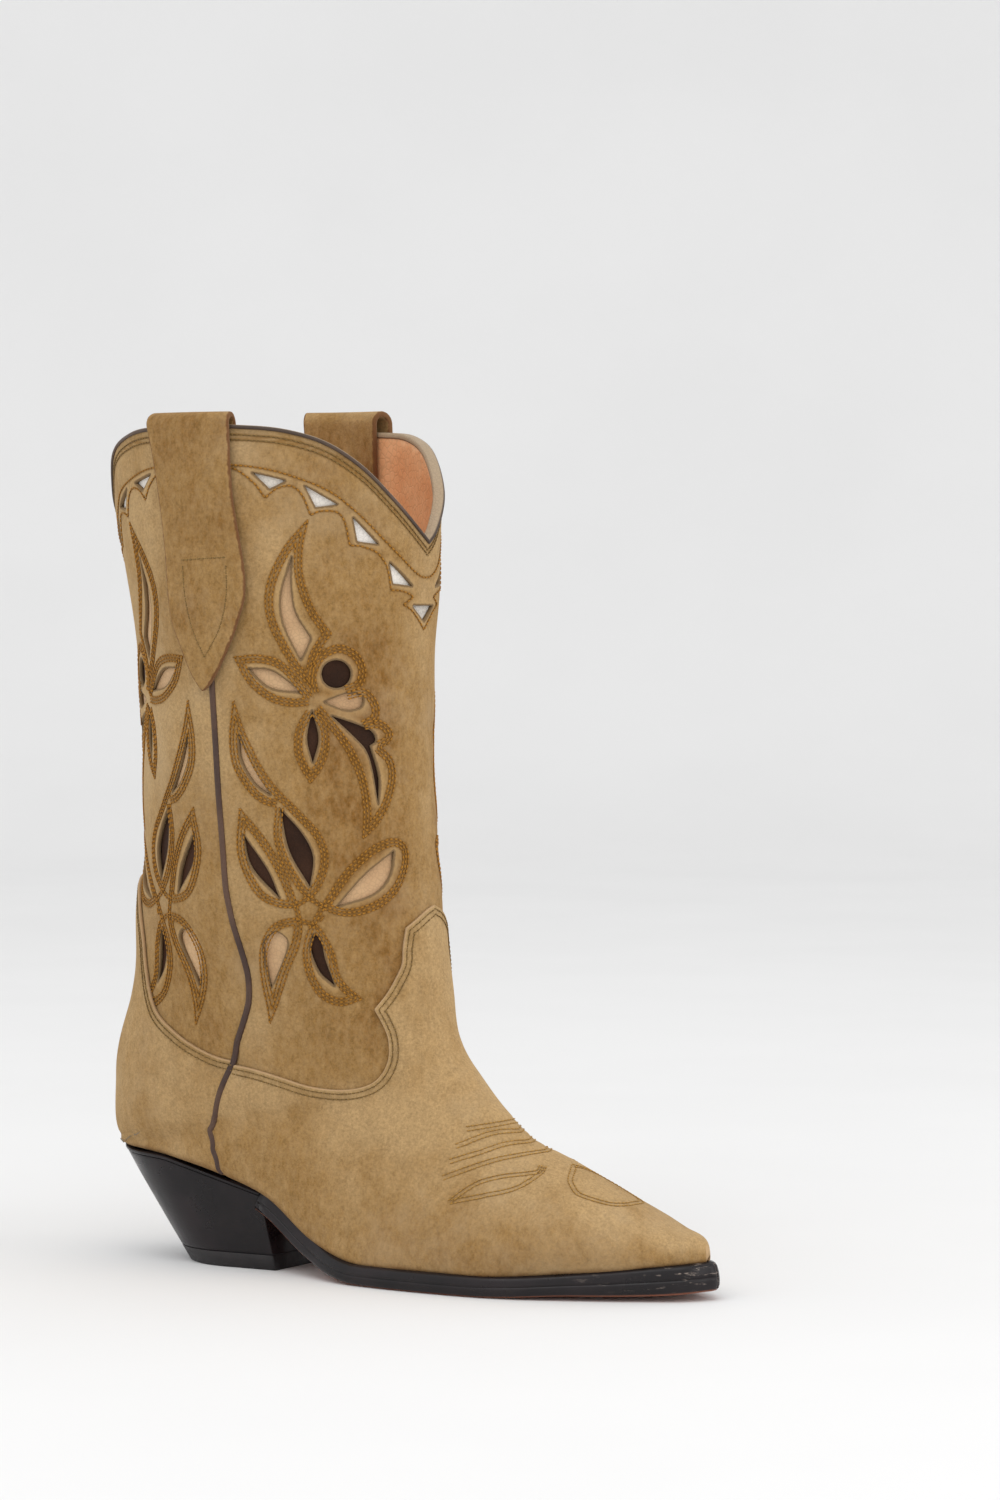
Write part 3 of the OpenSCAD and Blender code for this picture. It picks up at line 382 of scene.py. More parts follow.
def new_piece(name, verts, faces, material, replaces=(), smooth=True, attributes=None):
    mesh = bpy.data.meshes.new(name)
    if isinstance(faces, tuple):
        tris, quads = faces
        count = len(tris) * 3 + len(quads) * 4
        mesh.vertices.add(len(verts))
        mesh.vertices.foreach_set("co", np.asarray(verts, np.float32).ravel())
        mesh.loops.add(count)
        mesh.loops.foreach_set("vertex_index", np.concatenate([tris.ravel(), quads.ravel()]).astype(np.int32))
        starts = np.concatenate([np.arange(len(tris)) * 3, len(tris) * 3 + np.arange(len(quads)) * 4])
        mesh.polygons.add(len(tris) + len(quads))
        mesh.polygons.foreach_set("loop_start", starts.astype(np.int32))
        mesh.update(calc_edges=True)
        mesh.validate()
    else:
        mesh.from_pydata([tuple(v) for v in verts], [], faces)
        mesh.update()
    for key, values in (attributes or {}).items():
        layer = mesh.attributes.new(key, "FLOAT", "POINT")
        layer.data.foreach_set("value", np.asarray(values, np.float32))
    if smooth:
        mesh.polygons.foreach_set("use_smooth", np.ones(len(mesh.polygons), bool))
    piece = bpy.data.objects.new(name, mesh)
    bpy.context.scene.collection.objects.link(piece)
    piece.data.materials.append(material)
    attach(piece, BODY)
    for node in replaces:
        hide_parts(node)
    return piece


def inside(points, loop):
    """Which points lie in a closed loop."""
    hit = np.zeros(len(points), bool)
    low, high = loop.min(0), loop.max(0)
    near = np.all((points >= low) & (points <= high), axis=1)
    x, y = points[near, 0], points[near, 1]
    odd = np.zeros(len(x), bool)
    for (x0, y0), (x1, y1) in zip(loop, np.roll(loop, -1, axis=0)):
        if y0 != y1:
            cross = ((y0 > y) != (y1 > y)) & (x < (x1 - x0) * (y - y0) / (y1 - y0) + x0)
            odd ^= cross
    hit[near] = odd
    return hit


def nearest(points, targets):
    """Distance from each point to the nearest target."""
    tree = KDTree(len(targets))
    for i, q in enumerate(targets):
        tree.insert(q, i)
    tree.balance()
    return np.array([tree.find(p)[2] for p in points])


def shifted(loop, by):
    """A loop moved sideways, to the right of the way that it runs."""
    d = np.roll(loop, -1, axis=0) - np.roll(loop, 1, axis=0)
    d /= np.linalg.norm(d, axis=1, keepdims=True) + 1e-9
    return loop + by * np.stack([d[:, 1], -d[:, 0]], -1)


def triangulate(border, windows, grid, rings):
    """Points and triangles of a flat pattern with holes, finer along its edges."""
    loops = [resample(np.vstack([border, border[:1]]), 0.8)[:-1]]
    loops += [resample(np.vstack([w, w[:1]]), 0.45)[:-1] for w in windows]
    edge = np.vstack(loops)
    low, high = loops[0].min(0), loops[0].max(0)
    cells = []
    for i, y in enumerate(np.arange(low[1], high[1], grid * 0.87)):
        x = np.arange(low[0] + (i % 2) * grid / 2, high[0], grid)
        cells.append(np.stack([x, np.full(len(x), y)], -1))
    cells = clear_of(np.vstack(cells), loops, edge, grid * 0.8)
    near = [shifted(loop, side * by) for loop in loops for by in rings for side in (-1, 1)]
    near = clear_of(np.vstack(near), loops, edge, 0.16) if near else cells[:0]
    points = np.vstack(loops + [cells, near])
    edges, start = [], 0
    for loop in loops:
        n = len(loop)
        edges += [(start + i, start + (i + 1) % n) for i in range(n)]
        start += n
    out = delaunay_2d_cdt([Vector(p) for p in points], edges, [], 0, 1e-5, False)
    flat, tris = np.array([tuple(v) for v in out[0]]), np.array(out[2])
    middle = flat[tris].mean(1)
    keep = inside(middle, loops[0])
    for hole in loops[1:]:
        keep &= ~inside(middle, hole)
    tris = tris[keep]
    used = np.unique(tris)
    index = np.full(len(flat), -1)
    index[used] = np.arange(len(used))
    return flat[used], index[tris], loops


def clear_of(points, loops, edge, distance):
    """Those points that lie in the pattern and at a distance from all its edges."""
    ok = inside(points, loops[0])
    for hole in loops[1:]:
        ok &= ~inside(points, hole)
    points = points[ok]
    gap = nearest([(x, y, 0.0) for x, y in points], [(x, y, 0.0) for x, y in edge])
    return points[gap > distance]


def rounded(distance, radius):
    """How far a rounded edge drops, at a distance from the edge."""
    return radius - np.sqrt(np.maximum(0, radius ** 2 - np.maximum(0, radius - distance) ** 2))


FAR = 9.0


def cut_sheet(border, windows, face, back, grid=1.6, folds=(), rows=None, sunk=0.3, cut_round=0.45,
              fold_round=1.5, rings=(0.22, 0.6), tone=None):
    """A closed leather sheet cut from the surface, with rounded cut edges, folded edges and stitch grooves.

    border and windows are closed loops of angle and section number. folds are lines along which the edge is
    turned in, so it's rounder. rows are points of the stitch lines that pull the leather down."""
    flat_border = to_flat(border[:, 0], border[:, 1])
    flat, tris, loops = triangulate(flat_border, [to_flat(w[:, 0], w[:, 1]) for w in windows], grid, rings)
    a, t = from_flat(flat)
    mid, normal = skin(t, a, face)
    edges = [skin(lt, la, face)[0] for la, lt in (from_flat(loop) for loop in loops)]
    d_cut = nearest(mid, np.vstack(edges))
    far = np.full(len(mid), FAR)
    d_window = nearest(mid, np.vstack(edges[1:])) if windows else far
    d_fold = nearest(mid, np.vstack([skin(f[:, 1], f[:, 0], face)[0] for f in folds])) if len(folds) else far
    d_row = nearest(mid, rows) if rows is not None and len(rows) else far
    drop = np.maximum(rounded(d_cut, cut_round), rounded(d_fold, fold_round))
    drop = np.minimum(drop, face - back - 0.1) + sunk * np.exp(-((d_row / 0.9) ** 2))
    n = len(flat)
    sides = np.concatenate([tris[:, [0, 1]], tris[:, [1, 2]], tris[:, [2, 0]]])
    _, index, counts = np.unique(sides.min(1) * n + sides.max(1), return_index=True, return_counts=True)
    rim = sides[index[counts == 1]]
    walls = np.stack([rim[:, 1], rim[:, 0], rim[:, 0] + n, rim[:, 1] + n], -1)
    outer = mid - normal * drop[:, None]
    inner = mid + normal * (back - face)
    tip = t > LAST - 0.01
    for layer, reach in ((outer, face), (inner, back)):
        layer[tip] = on_section(LAST, np.array([90.0, -90.0])).mean(0) + [reach, 0, 0.8]
    verts = np.vstack([outer, inner])
    faces = np.vstack([tris, tris[:, ::-1] + n])
    if signed_volume(verts, faces, walls) < 0:
        faces, walls = faces[:, ::-1], walls[:, ::-1]
    sole = np.clip(mid[:, 2] - seat_line(mid[:, 0]), 0, 90)
    attributes = {
        "window": np.concatenate([np.minimum(d_window, FAR), np.zeros(n)]),
        "cut": np.concatenate([np.minimum(d_cut, FAR), np.zeros(n)]),
        "row": np.concatenate([np.minimum(d_row, FAR), np.full(n, FAR)]),
        "sole": np.tile(sole, 2),
        "tone": np.tile(tone(a, t) if tone else np.full(n, 0.3), 2),
    }
    return verts, faces, walls, attributes


def sheet_piece(name, sheets, material, replaces):
    """One object made of one or more cut sheets."""
    start, verts, tris, quads, attributes = 0, [], [], [], {}
    for v, f, w, marks in sheets:
        verts.append(v)
        tris.append(f + start)
        quads.append(w + start)
        start += len(v)
        for key, values in marks.items():
            attributes.setdefault(key, []).append(values)
    attributes = {key: np.concatenate(values) for key, values in attributes.items()}
    faces = (np.vstack(tris), np.vstack(quads))
    return new_piece(name, place(np.vstack(verts)), faces, material, replaces, True, attributes)


def tube(name, rings, material, replaces=(), closed=False, caps=True, attributes=None):
    """A skin over rings of points."""
    rings = np.asarray(rings, float)
    m, n = rings.shape[:2]
    i, j = np.meshgrid(np.arange(m if closed else m - 1), np.arange(n), indexing="ij")
    k = (i + 1) % m
    quads = np.stack([i * n + j, i * n + (j + 1) % n, k * n + (j + 1) % n, k * n + j], -1).reshape(-1, 4)
    tris = np.zeros((0, 3), int)
    verts = rings.reshape(-1, 3)
    if caps and not closed:
        ends = []
        for ring, flip in ((0, True), (m - 1, False)):
            centre = len(verts)
            verts = np.vstack([verts, rings[ring].mean(0)])
            for q in range(n):
                tri = [ring * n + q, ring * n + (q + 1) % n, centre]
                ends.append(tri[::-1] if flip else tri)
        tris = np.array(ends)
    if signed_volume(verts, tris, quads) < 0:
        tris, quads = tris[:, ::-1], quads[:, ::-1]
    return new_piece(name, place(verts), (tris, quads), material, replaces, True, attributes)


def signed_volume(verts, tris, quads):
    parts = [tris] if len(tris) else []
    parts += [quads[:, [0, 1, 2]], quads[:, [0, 2, 3]]]
    f = np.vstack(parts)
    return float(np.sum(np.cross(verts[f[:, 0]], verts[f[:, 1]]) * verts[f[:, 2]]))


# ---- Stitches ----
STITCH_RING = 6


def at_length(s, lengths, values):
    """3-D values at distances along a line, whose points lie at the given lengths."""
    return np.stack([np.interp(s, lengths, values[:, i]) for i in range(3)], -1)


def stitch_template():
    """One stitch along x from -0.5 to 0.5, with its ends diving into the leather. Its ends are marked for
    painted shade, which stands in for the shaded needle holes.
    """
    xs = np.array([-0.5, -0.4, -0.18, 0.18, 0.4, 0.5])
    size = np.array([0.25, 0.75, 1.0, 1.0, 0.75, 0.25])
    lift = np.array([-0.9, -0.35, 0.0, 0.0, -0.35, -0.9])
    q = np.arange(STITCH_RING) * 2 * math.pi / STITCH_RING
    rings = [np.stack([np.full(STITCH_RING, x), s * np.cos(q), s * np.sin(q) + h], -1)
             for x, s, h in zip(xs, size, lift)]
    verts = np.vstack(rings)
    ring = np.arange(STITCH_RING)
    ahead = (ring + 1) % STITCH_RING
    quads = [np.stack([ring, ahead, ahead + STITCH_RING, ring + STITCH_RING], -1) + i * STITCH_RING
             for i in range(len(xs) - 1)]
    # Painted shade: the stitch darkens towards its ends, where the needle holes lie in shadow
    dark_and_hole_shade = np.repeat(np.clip((np.abs(xs) - 0.3) / 0.15, 0, 1), STITCH_RING)
    return verts, np.vstack(quads), dark_and_hole_shade


def path_3d(line, out, by_height=True):
    """A line of angles and heights, or of angles and section numbers, as 3-D points and normals."""
    t = t_at(line[:, 1]) if by_height else line[:, 1]
    return skin(t, line[:, 0], out)


def stitches(name, paths, pitch, radius, material, slot, length=0.97, seed=1):
    """Thread along each path: (points, normals)."""
    base, quads, dark_and_hole_shade = stitch_template()
    rng = np.random.default_rng(seed)
    spots = []
    for points, normals in paths:
        d = np.concatenate([[0], np.cumsum(np.linalg.norm(np.diff(points, axis=0), axis=1))])
        n = int(d[-1] / pitch)
        if n < 1:
            continue
        s = (np.arange(n) + 0.5) * d[-1] / n
        c, up = at_length(s, d, points), at_length(s, d, normals)
        ahead = at_length(np.minimum(s + pitch / 2, d[-1]), d, points)
        ahead -= at_length(np.maximum(s - pitch / 2, 0), d, points)
        ahead /= np.linalg.norm(ahead, axis=1, keepdims=True) + 1e-9
        up /= np.linalg.norm(up, axis=1, keepdims=True) + 1e-9
        across = np.cross(up, ahead)
        turn = rng.normal(0, 0.05, len(s))[:, None]
        ahead = ahead + across * turn
        spots.append((c, ahead, across, up, np.full(len(s), d[-1] / n)))
    c, x, y, z, step = (np.concatenate([q[i] for q in spots]) for i in range(5))
    size = radius * rng.uniform(0.92, 1.08, len(c))
    axes = (x * (step * length)[:, None], y * size[:, None], z * size[:, None])
    verts = c[:, None] + sum(base[None, :, i:i + 1] * axis[:, None] for i, axis in enumerate(axes))
    m = len(base)
    faces = (quads[None] + (np.arange(len(c)) * m)[:, None, None]).reshape(-1, 4)
    tone = np.repeat(rng.uniform(0, 1, len(c)), m)
    faces = (np.zeros((0, 3), int), faces)
    # The end mark carries the painted needle-hole shade to the thread's material
    marks = {"dark_and_hole_shade": np.tile(dark_and_hole_shade, len(c)), "tone": tone}
    return new_piece(name, place(verts.reshape(-1, 3)), faces, material, (), True, marks)


def offset_row(line, by):
    """A row beside a line of angles and heights, on its right, without the loops that corners make."""
    if by == 0:
        return [line]
    centre = line.mean(0)
    side = on_section(t_at(centre[1]), np.array([centre[0] - 1, centre[0] + 1]))
    scale = np.linalg.norm(side[1] - side[0]) / 2
    flat = resample(np.stack([-line[:, 0] * scale, line[:, 1]], -1), 0.25)
    d = np.gradient(flat, axis=0)
    d /= np.linalg.norm(d, axis=1, keepdims=True) + 1e-9
    moved = flat + by * np.stack([d[:, 1], -d[:, 0]], -1)
    gap = nearest([(x, y, 0.0) for x, y in moved], [(x, y, 0.0) for x, y in flat])
    ok = gap > by * 0.93
    runs = []
    keep = moved[ok]
    if len(keep) < 4:
        return []
    jumps = np.where(np.linalg.norm(np.diff(keep, axis=0), axis=1) > 3.0)[0]
    for part in np.split(keep, jumps + 1):
        if len(part) > 3:
            runs.append(np.stack([-part[:, 0] / scale, part[:, 1]], -1))
    return runs


# ---- The feather line ----
BREAST_X = 81.0
_arch_t = np.arange(T_SEAT, 13, 0.05)
T_BREAST = float(np.interp(BREAST_X, section(_arch_t)[:, BACK_X], _arch_t))
_seat_t = np.arange(T_SEAT, LAST + 0.001, 0.05)
_seat = section(_seat_t)


def seat_line(x):
    """Height of the feather line over a place."""
    return np.interp(x, _seat[:, BACK_X], _seat[:, BACK_Z]) - UNDER


def feather(t):
    k = section(t)
    return k[..., BACK_X], swing(t), k[..., BACK_Z] - UNDER, np.maximum(0, k[..., HALF_UNDER])


def rim_stations(from_t, count=70, turns=8):
    """Places along half of the sole's outline, from the heel's breast to the tip of the toe: the point on the
    feather line, the outward direction in plan and the direction square to the sole."""
    t = from_t + (LAST - from_t) * (1 - (1 - np.linspace(0, 1, count)) ** 1.6)
    x, mid, z, half = feather(t)
    dx, dh, dz = np.gradient(x), np.gradient(half), np.gradient(z)
    plan = np.hypot(dx, dh)
    nx, ny = -dh / plan, dx / plan
    slope = np.hypot(dx, dz)
    down = np.stack([dz / slope, np.zeros(count), -dx / slope], -1)
    last = math.atan2(ny[-2], nx[-2])
    turn = np.linspace(last, 0, turns + 1)[1:]
    nx = np.concatenate([nx[:-1], [math.cos(last)], np.cos(turn)])
    ny = np.concatenate([ny[:-1], [math.sin(last)], np.sin(turn)])

    def grow(v):
        return np.concatenate([v, np.repeat(v[-1:], turns, axis=0)])

    return grow(t), grow(x), grow(mid), grow(z), grow(half), nx, ny, grow(down)


def sole_margin(t):
    return 1.0 + 3.0 * smooth01((t - 11.2) / 1.8)


def toe_growth(x):
    """How much thicker the sole gets towards the tip of the toe."""
    return 1 + 0.42 * smooth01((x - 205) / 50)


def sole_rings(profile, from_t):
    """Rings across the sole. profile lists (share of the margin, extra margin, drop) from the middle out."""
    t, x, mid, z, half, nx, ny, down = rim_stations(from_t)
    margin = sole_margin(t)
    rings = []
    for side in (-1, 1):
        points = []
        for share, extra, drop in profile:
            m = np.maximum(share * margin + extra, -0.96 * np.maximum(half, 0.01) / np.maximum(ny, 0.3))
            px = x + m * nx
            py = mid + side * np.maximum(0.02, half + m * ny)
            deep = np.where(drop > 0, drop * toe_growth(x), drop)
            points.append(np.stack([px, py, z], -1) + down * deep[:, None])
        rings.append(np.stack(points, 1))
    return np.concatenate([rings[0], rings[1][:, ::-1]], 1)


# ---- Materials ----
def rgb(red, green, blue):
    """A screen colour, 0 to 255, as the linear colour that a shader takes."""
    linear = [c / 255 / 12.92 if c <= 10 else ((c / 255 + 0.055) / 1.055) ** 2.4 for c in (red, green, blue)]
    return (*linear, 1.0)


class Look:
    """A procedural material, built node by node."""

    def __init__(self, name, roughness=0.5, sheen=0.0, sheen_tint=(1, 1, 1, 1), sheen_roughness=0.4, coat=0.0,
                 specular=0.5, metallic=0.0):
        self.material = bpy.data.materials.new(name)
        self.material.use_nodes = True
        self.tree = self.material.node_tree
        self.shader = self.tree.nodes["Principled BSDF"]
        self.shader.inputs["Roughness"].default_value = roughness
        self.shader.inputs["Sheen Weight"].default_value = sheen
        self.shader.inputs["Sheen Tint"].default_value = sheen_tint
        self.shader.inputs["Sheen Roughness"].default_value = sheen_roughness
        self.shader.inputs["Coat Weight"].default_value = coat
        self.shader.inputs["Coat Roughness"].default_value = 0.15
        self.shader.inputs["Specular IOR Level"].default_value = specular
        self.shader.inputs["Metallic"].default_value = metallic
        self.place = self.tree.nodes.new("ShaderNodeTexCoord").outputs["Object"]
        self.normal = None

    def link(self, source, socket):
        if hasattr(source, "is_output"):
            self.tree.links.new(source, socket)
        else:
            socket.default_value = source

    def stretched(self, x, y, z):
        node = self.tree.nodes.new("ShaderNodeMapping")
        self.tree.links.new(self.place, node.inputs["Vector"])
        node.inputs["Scale"].default_value = (x, y, z)
        return node.outputs["Vector"]

    def noise(self, scale, detail=3.0, rough=0.55, vector=None):
        node = self.tree.nodes.new("ShaderNodeTexNoise")
        self.tree.links.new(vector or self.place, node.inputs["Vector"])
        node.inputs["Scale"].default_value = scale
        node.inputs["Detail"].default_value = detail
        node.inputs["Roughness"].default_value = rough
        return node.outputs["Fac"]

    def cells(self, scale, feature="DISTANCE_TO_EDGE"):
        node = self.tree.nodes.new("ShaderNodeTexVoronoi")
        node.feature = feature
        self.tree.links.new(self.place, node.inputs["Vector"])
        node.inputs["Scale"].default_value = scale
        return node.outputs["Distance"]

    def mark(self, name):
        node = self.tree.nodes.new("ShaderNodeAttribute")
        node.attribute_name = name
        return node.outputs["Fac"]

    def sum(self, a, b, operation="ADD"):
        node = self.tree.nodes.new("ShaderNodeMath")
        node.operation = operation
        self.link(a, node.inputs[0])
        self.link(b, node.inputs[1])
        return node.outputs[0]

    def remap(self, value, low, high, to_low=0.0, to_high=1.0, smooth=True):
        node = self.tree.nodes.new("ShaderNodeMapRange")
        node.interpolation_type = "SMOOTHSTEP" if smooth else "LINEAR"
        self.link(value, node.inputs["Value"])
        for key, number in (("From Min", low), ("From Max", high), ("To Min", to_low), ("To Max", to_high)):
            node.inputs[key].default_value = number
        return node.outputs["Result"]

    def mix(self, factor, a, b, blend="MIX"):
        node = self.tree.nodes.new("ShaderNodeMix")
        node.data_type = "RGBA"
        node.blend_type = blend
        self.link(factor, node.inputs["Factor"])
        self.link(a, node.inputs["A"])
        self.link(b, node.inputs["B"])
        return [socket for socket in node.outputs if socket.type == "RGBA"][0]

    def bump(self, height, distance, strength=1.0):
        node = self.tree.nodes.new("ShaderNodeBump")
        node.inputs["Strength"].default_value = strength
        node.inputs["Distance"].default_value = distance
        self.tree.links.new(height, node.inputs["Height"])
        if self.normal is not None:
            self.tree.links.new(self.normal, node.inputs["Normal"])
        self.normal = node.outputs["Normal"]
        self.tree.links.new(self.normal, self.shader.inputs["Normal"])

    def colour(self, source):
        self.link(source, self.shader.inputs["Base Color"])
        return self

    def roughness(self, source):
        self.link(source, self.shader.inputs["Roughness"])


PALE_SUEDE = rgb(196, 162, 114)
MID_SUEDE = rgb(166, 128, 76)
GOLDEN_SUEDE = rgb(134, 90, 36)
BURNT = rgb(104, 64, 30)
# Dark window edges: partly the burnished dye of the cut edge, partly painted shadow of the window's depth
BURNISHED_EDGE_AND_SHADOW = rgb(46, 26, 22)
THREAD_BAND = rgb(136, 92, 28)
CUT_EDGE = rgb(196, 164, 128)
WORN_SUEDE = rgb(190, 166, 132)
RAW_EDGE = rgb(104, 66, 42)
DEEP_GRAIN = (0.02, 0.012, 0.004, 1)
DEEP_STREAK = (0.03, 0.015, 0.004, 1)
DEEP_CREASE = (0.01, 0.006, 0.004, 1)


def suede(name, windows=False, cut=False, raw_edge=False, band=THREAD_BAND, band_amount=0.45):
    look = Look(name, roughness=0.92, sheen=0.22, sheen_tint=rgb(255, 226, 180), sheen_roughness=0.45,
                specular=0.12)
    cloud = look.noise(22, 4, 0.6)
    brushed = look.noise(60, 4, 0.6, look.stretched(1.0, 1.0, 0.45))
    fibre = look.noise(900, 5, 0.8)
    nap = look.noise(420, 4, 0.65, look.stretched(1.0, 1.0, 0.6))
    tone = look.sum(look.mark("tone"), look.remap(cloud, 0.3, 0.7, -0.3, 0.3, False))
    tone = look.sum(tone, look.remap(brushed, 0.3, 0.7, -0.14, 0.14, False))
    base = look.mix(look.remap(tone, 0.0, 0.5), PALE_SUEDE, MID_SUEDE)
    base = look.mix(look.remap(tone, 0.45, 1.0), base, GOLDEN_SUEDE)
    streak = look.noise(240, 5, 0.7, look.stretched(1.0, 1.0, 0.3))
    worn = look.noise(16, 6, 0.65)
    base = look.mix(look.remap(fibre, 0.36, 0.64, 0.0, 1.0, False), base, look.mix(0.42, base, DEEP_GRAIN))
    base = look.mix(look.remap(nap, 0.35, 0.7, 0.0, 0.35, False), base, PALE_SUEDE)
    base = look.mix(look.remap(streak, 0.4, 0.7, 0.0, 0.3, False), base, look.mix(0.35, base, DEEP_STREAK))
    base = look.mix(look.remap(worn, 0.52, 0.7, 0.0, 0.35, False), base, WORN_SUEDE)
    line = look.remap(look.mark("row"), 0.3, 0.9, band_amount, 0.0)
    base = look.mix(line, base, band)
    if cut:
        base = look.mix(look.remap(look.mark("cut"), 0.15, 0.5, 0.6, 0.0), base, CUT_EDGE)
    if raw_edge:
        rough_cut = look.sum(look.mark("cut"), look.remap(look.noise(500), 0.3, 0.7, -0.3, 0.3), "ADD")
        base = look.mix(look.remap(rough_cut, 0.3, 1.1, 0.85, 0.0), base, RAW_EDGE)
    if windows:
        # Around each window: a dark ring within about a millimetre of the cut edge, partly the edge's own
        # burnished dye and partly painted shadow of the window's depth
        edge = look.sum(look.mark("window"), look.remap(look.noise(900), 0.3, 0.7, -0.18, 0.18), "ADD")
        base = look.mix(look.remap(edge, 0.5, 1.05, 1.0, 0.0), base, BURNISHED_EDGE_AND_SHADOW)
        base = look.mix(look.remap(look.mark("window"), 0.8, 3.4, 0.35, 0.0), base, PALE_SUEDE)
    ground = look.sum(look.mark("sole"), look.remap(look.noise(90), 0.3, 0.7, -0.8, 0.8), "ADD")
    base = look.mix(look.remap(ground, 0.0, 3.2, 0.6, 0.0), base, BURNT)
    look.colour(base)
    look.bump(fibre, 0.0004, 0.8)
    look.bump(nap, 0.0004, 0.5)
    look.bump(look.noise(140, 3), 0.0005, 0.35)
    return look.material


def smooth_leather(name, main, shade, roughness=0.5, grain=600, coat=0.05, specular=0.4, top=None):
    look = Look(name, roughness=roughness, coat=coat, specular=specular)
    cloud = look.noise(30, 4, 0.6)
    base = look.mix(look.remap(cloud, 0.35, 0.68), main, shade)
    if top:
        base = look.mix(look.mark("top"), base, top)
    creases = look.cells(grain)
    base = look.mix(look.remap(creases, 0.0, 0.12, 0.28, 0.0), base, look.mix(0.5, base, DEEP_CREASE))
    look.colour(base)
    look.roughness(look.remap(look.noise(80), 0.3, 0.7, roughness - 0.08, roughness + 0.1))
    look.bump(look.remap(creases, 0.0, 0.15), 0.00012, 0.5)
    look.bump(look.noise(180, 3), 0.0003, 0.35)
    return look.material


def thread(name, main, dark_and_hole_shade):
    look = Look(name, roughness=0.62, sheen=0.2, sheen_tint=rgb(255, 225, 160), specular=0.3)
    base = look.mix(look.remap(look.mark("tone"), 0.0, 1.0, 0.0, 0.45), main, look.mix(0.5, main, dark_and_hole_shade))
    base = look.mix(look.remap(look.noise(1800), 0.35, 0.7, 0.0, 0.35), base, dark_and_hole_shade)
    # Painted shade at the ends of each stitch, for the shaded needle holes; the same darker colour also gives
    # the thread its random tone and speckle above
    base = look.mix(look.mark("dark_and_hole_shade"), base, dark_and_hole_shade)
    look.colour(base)
    look.bump(look.noise(2500), 0.0002, 0.5)
    return look.material


def black_polish(name, bottom=False):
    look = Look(name, roughness=0.3, coat=0.06, specular=0.28)
    base = look.mix(look.remap(look.noise(45, 4), 0.35, 0.7), rgb(22, 18, 20), rgb(36, 29, 31))
    scuff = look.noise(260, 5, 0.7, look.stretched(0.5, 0.5, 2.0))
    worn = look.sum(look.mark("scuff"), look.remap(scuff, 0.56, 0.72), "MULTIPLY")
    base = look.mix(worn, base, rgb(176, 160, 148))
    if bottom:
        base = look.mix(look.mark("tan"), base, rgb(150, 92, 68))
    look.colour(base)
    rough = look.remap(look.noise(70, 4), 0.3, 0.7, 0.24, 0.42)
    if bottom:
        rough = look.sum(rough, look.remap(look.mark("tan"), 0.0, 1.0, 0.0, 0.25), "ADD")
    look.roughness(rough)
    look.bump(look.noise(40, 4), 0.0009, 0.35)
    look.bump(look.noise(600, 3, 0.6, look.stretched(0.4, 0.4, 2.2)), 0.00016, 0.4)
    return look.material


def simple(name, main, shade, roughness, scale=200, metallic=0.0, bump=0.0003):
    look = Look(name, roughness=roughness, metallic=metallic)
    look.colour(look.mix(look.remap(look.noise(scale, 4), 0.3, 0.7), main, shade))
    look.roughness(look.remap(look.noise(scale * 2), 0.3, 0.7, roughness * 0.8, min(1.0, roughness * 1.2)))
    look.bump(look.noise(scale * 3), bump, 0.5)
    return look.material


SUEDE_PANEL = suede("suede_panel", windows=True)
SUEDE_COVER = suede("suede_cover", cut=True, band=rgb(120, 90, 44), band_amount=0.1)
SUEDE_STRAP = suede("suede_strap", raw_edge=True, band=rgb(120, 88, 40), band_amount=0.3)
WHITE_LEATHER = smooth_leather("white_leather", rgb(246, 240, 232), rgb(228, 220, 208), 0.6, specular=0.2)
CREAM_LEATHER = smooth_leather("cream_leather", rgb(212, 176, 134), rgb(192, 154, 114), 0.6, specular=0.2)
DARK_LEATHER = smooth_leather("dark_leather", rgb(66, 42, 28), rgb(46, 28, 18), 0.7, specular=0.12)
TRIM_LEATHER = smooth_leather("dark_trim", rgb(90, 70, 56), rgb(66, 50, 38), 0.55, top=rgb(168, 146, 118))
PIPING_LEATHER = smooth_leather("piping_leather", rgb(92, 66, 50), rgb(62, 42, 34), 0.55)
LINING_LEATHER = smooth_leather("lining_leather", rgb(240, 184, 134), rgb(226, 160, 108), 0.55, grain=350)
GOLD_THREAD = thread("gold_thread", rgb(176, 120, 30), rgb(84, 52, 14))
OLIVE_THREAD = thread("olive_thread", rgb(142, 112, 60), rgb(50, 34, 12))
PALE_GOLD_THREAD = thread("pale_gold_thread", rgb(188, 144, 68), rgb(118, 84, 36))
BLACK_EDGE = black_polish("black_edge", bottom=True)
HEEL_BLACK = black_polish("heel_black")
LIFT_RUBBER = simple("lift_rubber", rgb(24, 20, 22), rgb(36, 31, 32), 0.5)
STIFFENER = simple("stiffener", rgb(170, 160, 140), rgb(150, 138, 118), 0.8)
BOARD = simple("board", rgb(176, 146, 106), rgb(150, 120, 84), 0.8)
CORK = simple("cork", rgb(150, 112, 72), rgb(110, 78, 48), 0.9)
STEEL = simple("steel", rgb(170, 170, 174), rgb(140, 140, 146), 0.35, metallic=1.0, bump=0.0001)
PEG_WOOD = simple("peg_wood", rgb(190, 156, 108), rgb(162, 126, 82), 0.7)

# ---- Stitch lines ----
def triple(lines, quarter):
    """The three rows beside each outer line, as 3-D paths."""
    paths = []
    for line in lines:
        for k in range(3):
            for row in offset_row(line, k * ROW_GAP):
                paths.append(path_3d(placed(row, *quarter), 0.0))
    return paths


def full_line(line, back):
    """A line on the outer quarter and its mirror image, as one."""
    whole = mirrored(line[::-1]) if line[0, 0] > line[-1, 0] else mirrored(line)
    if back:
        whole = whole * [-1, 1] + [180, 0]
    return whole


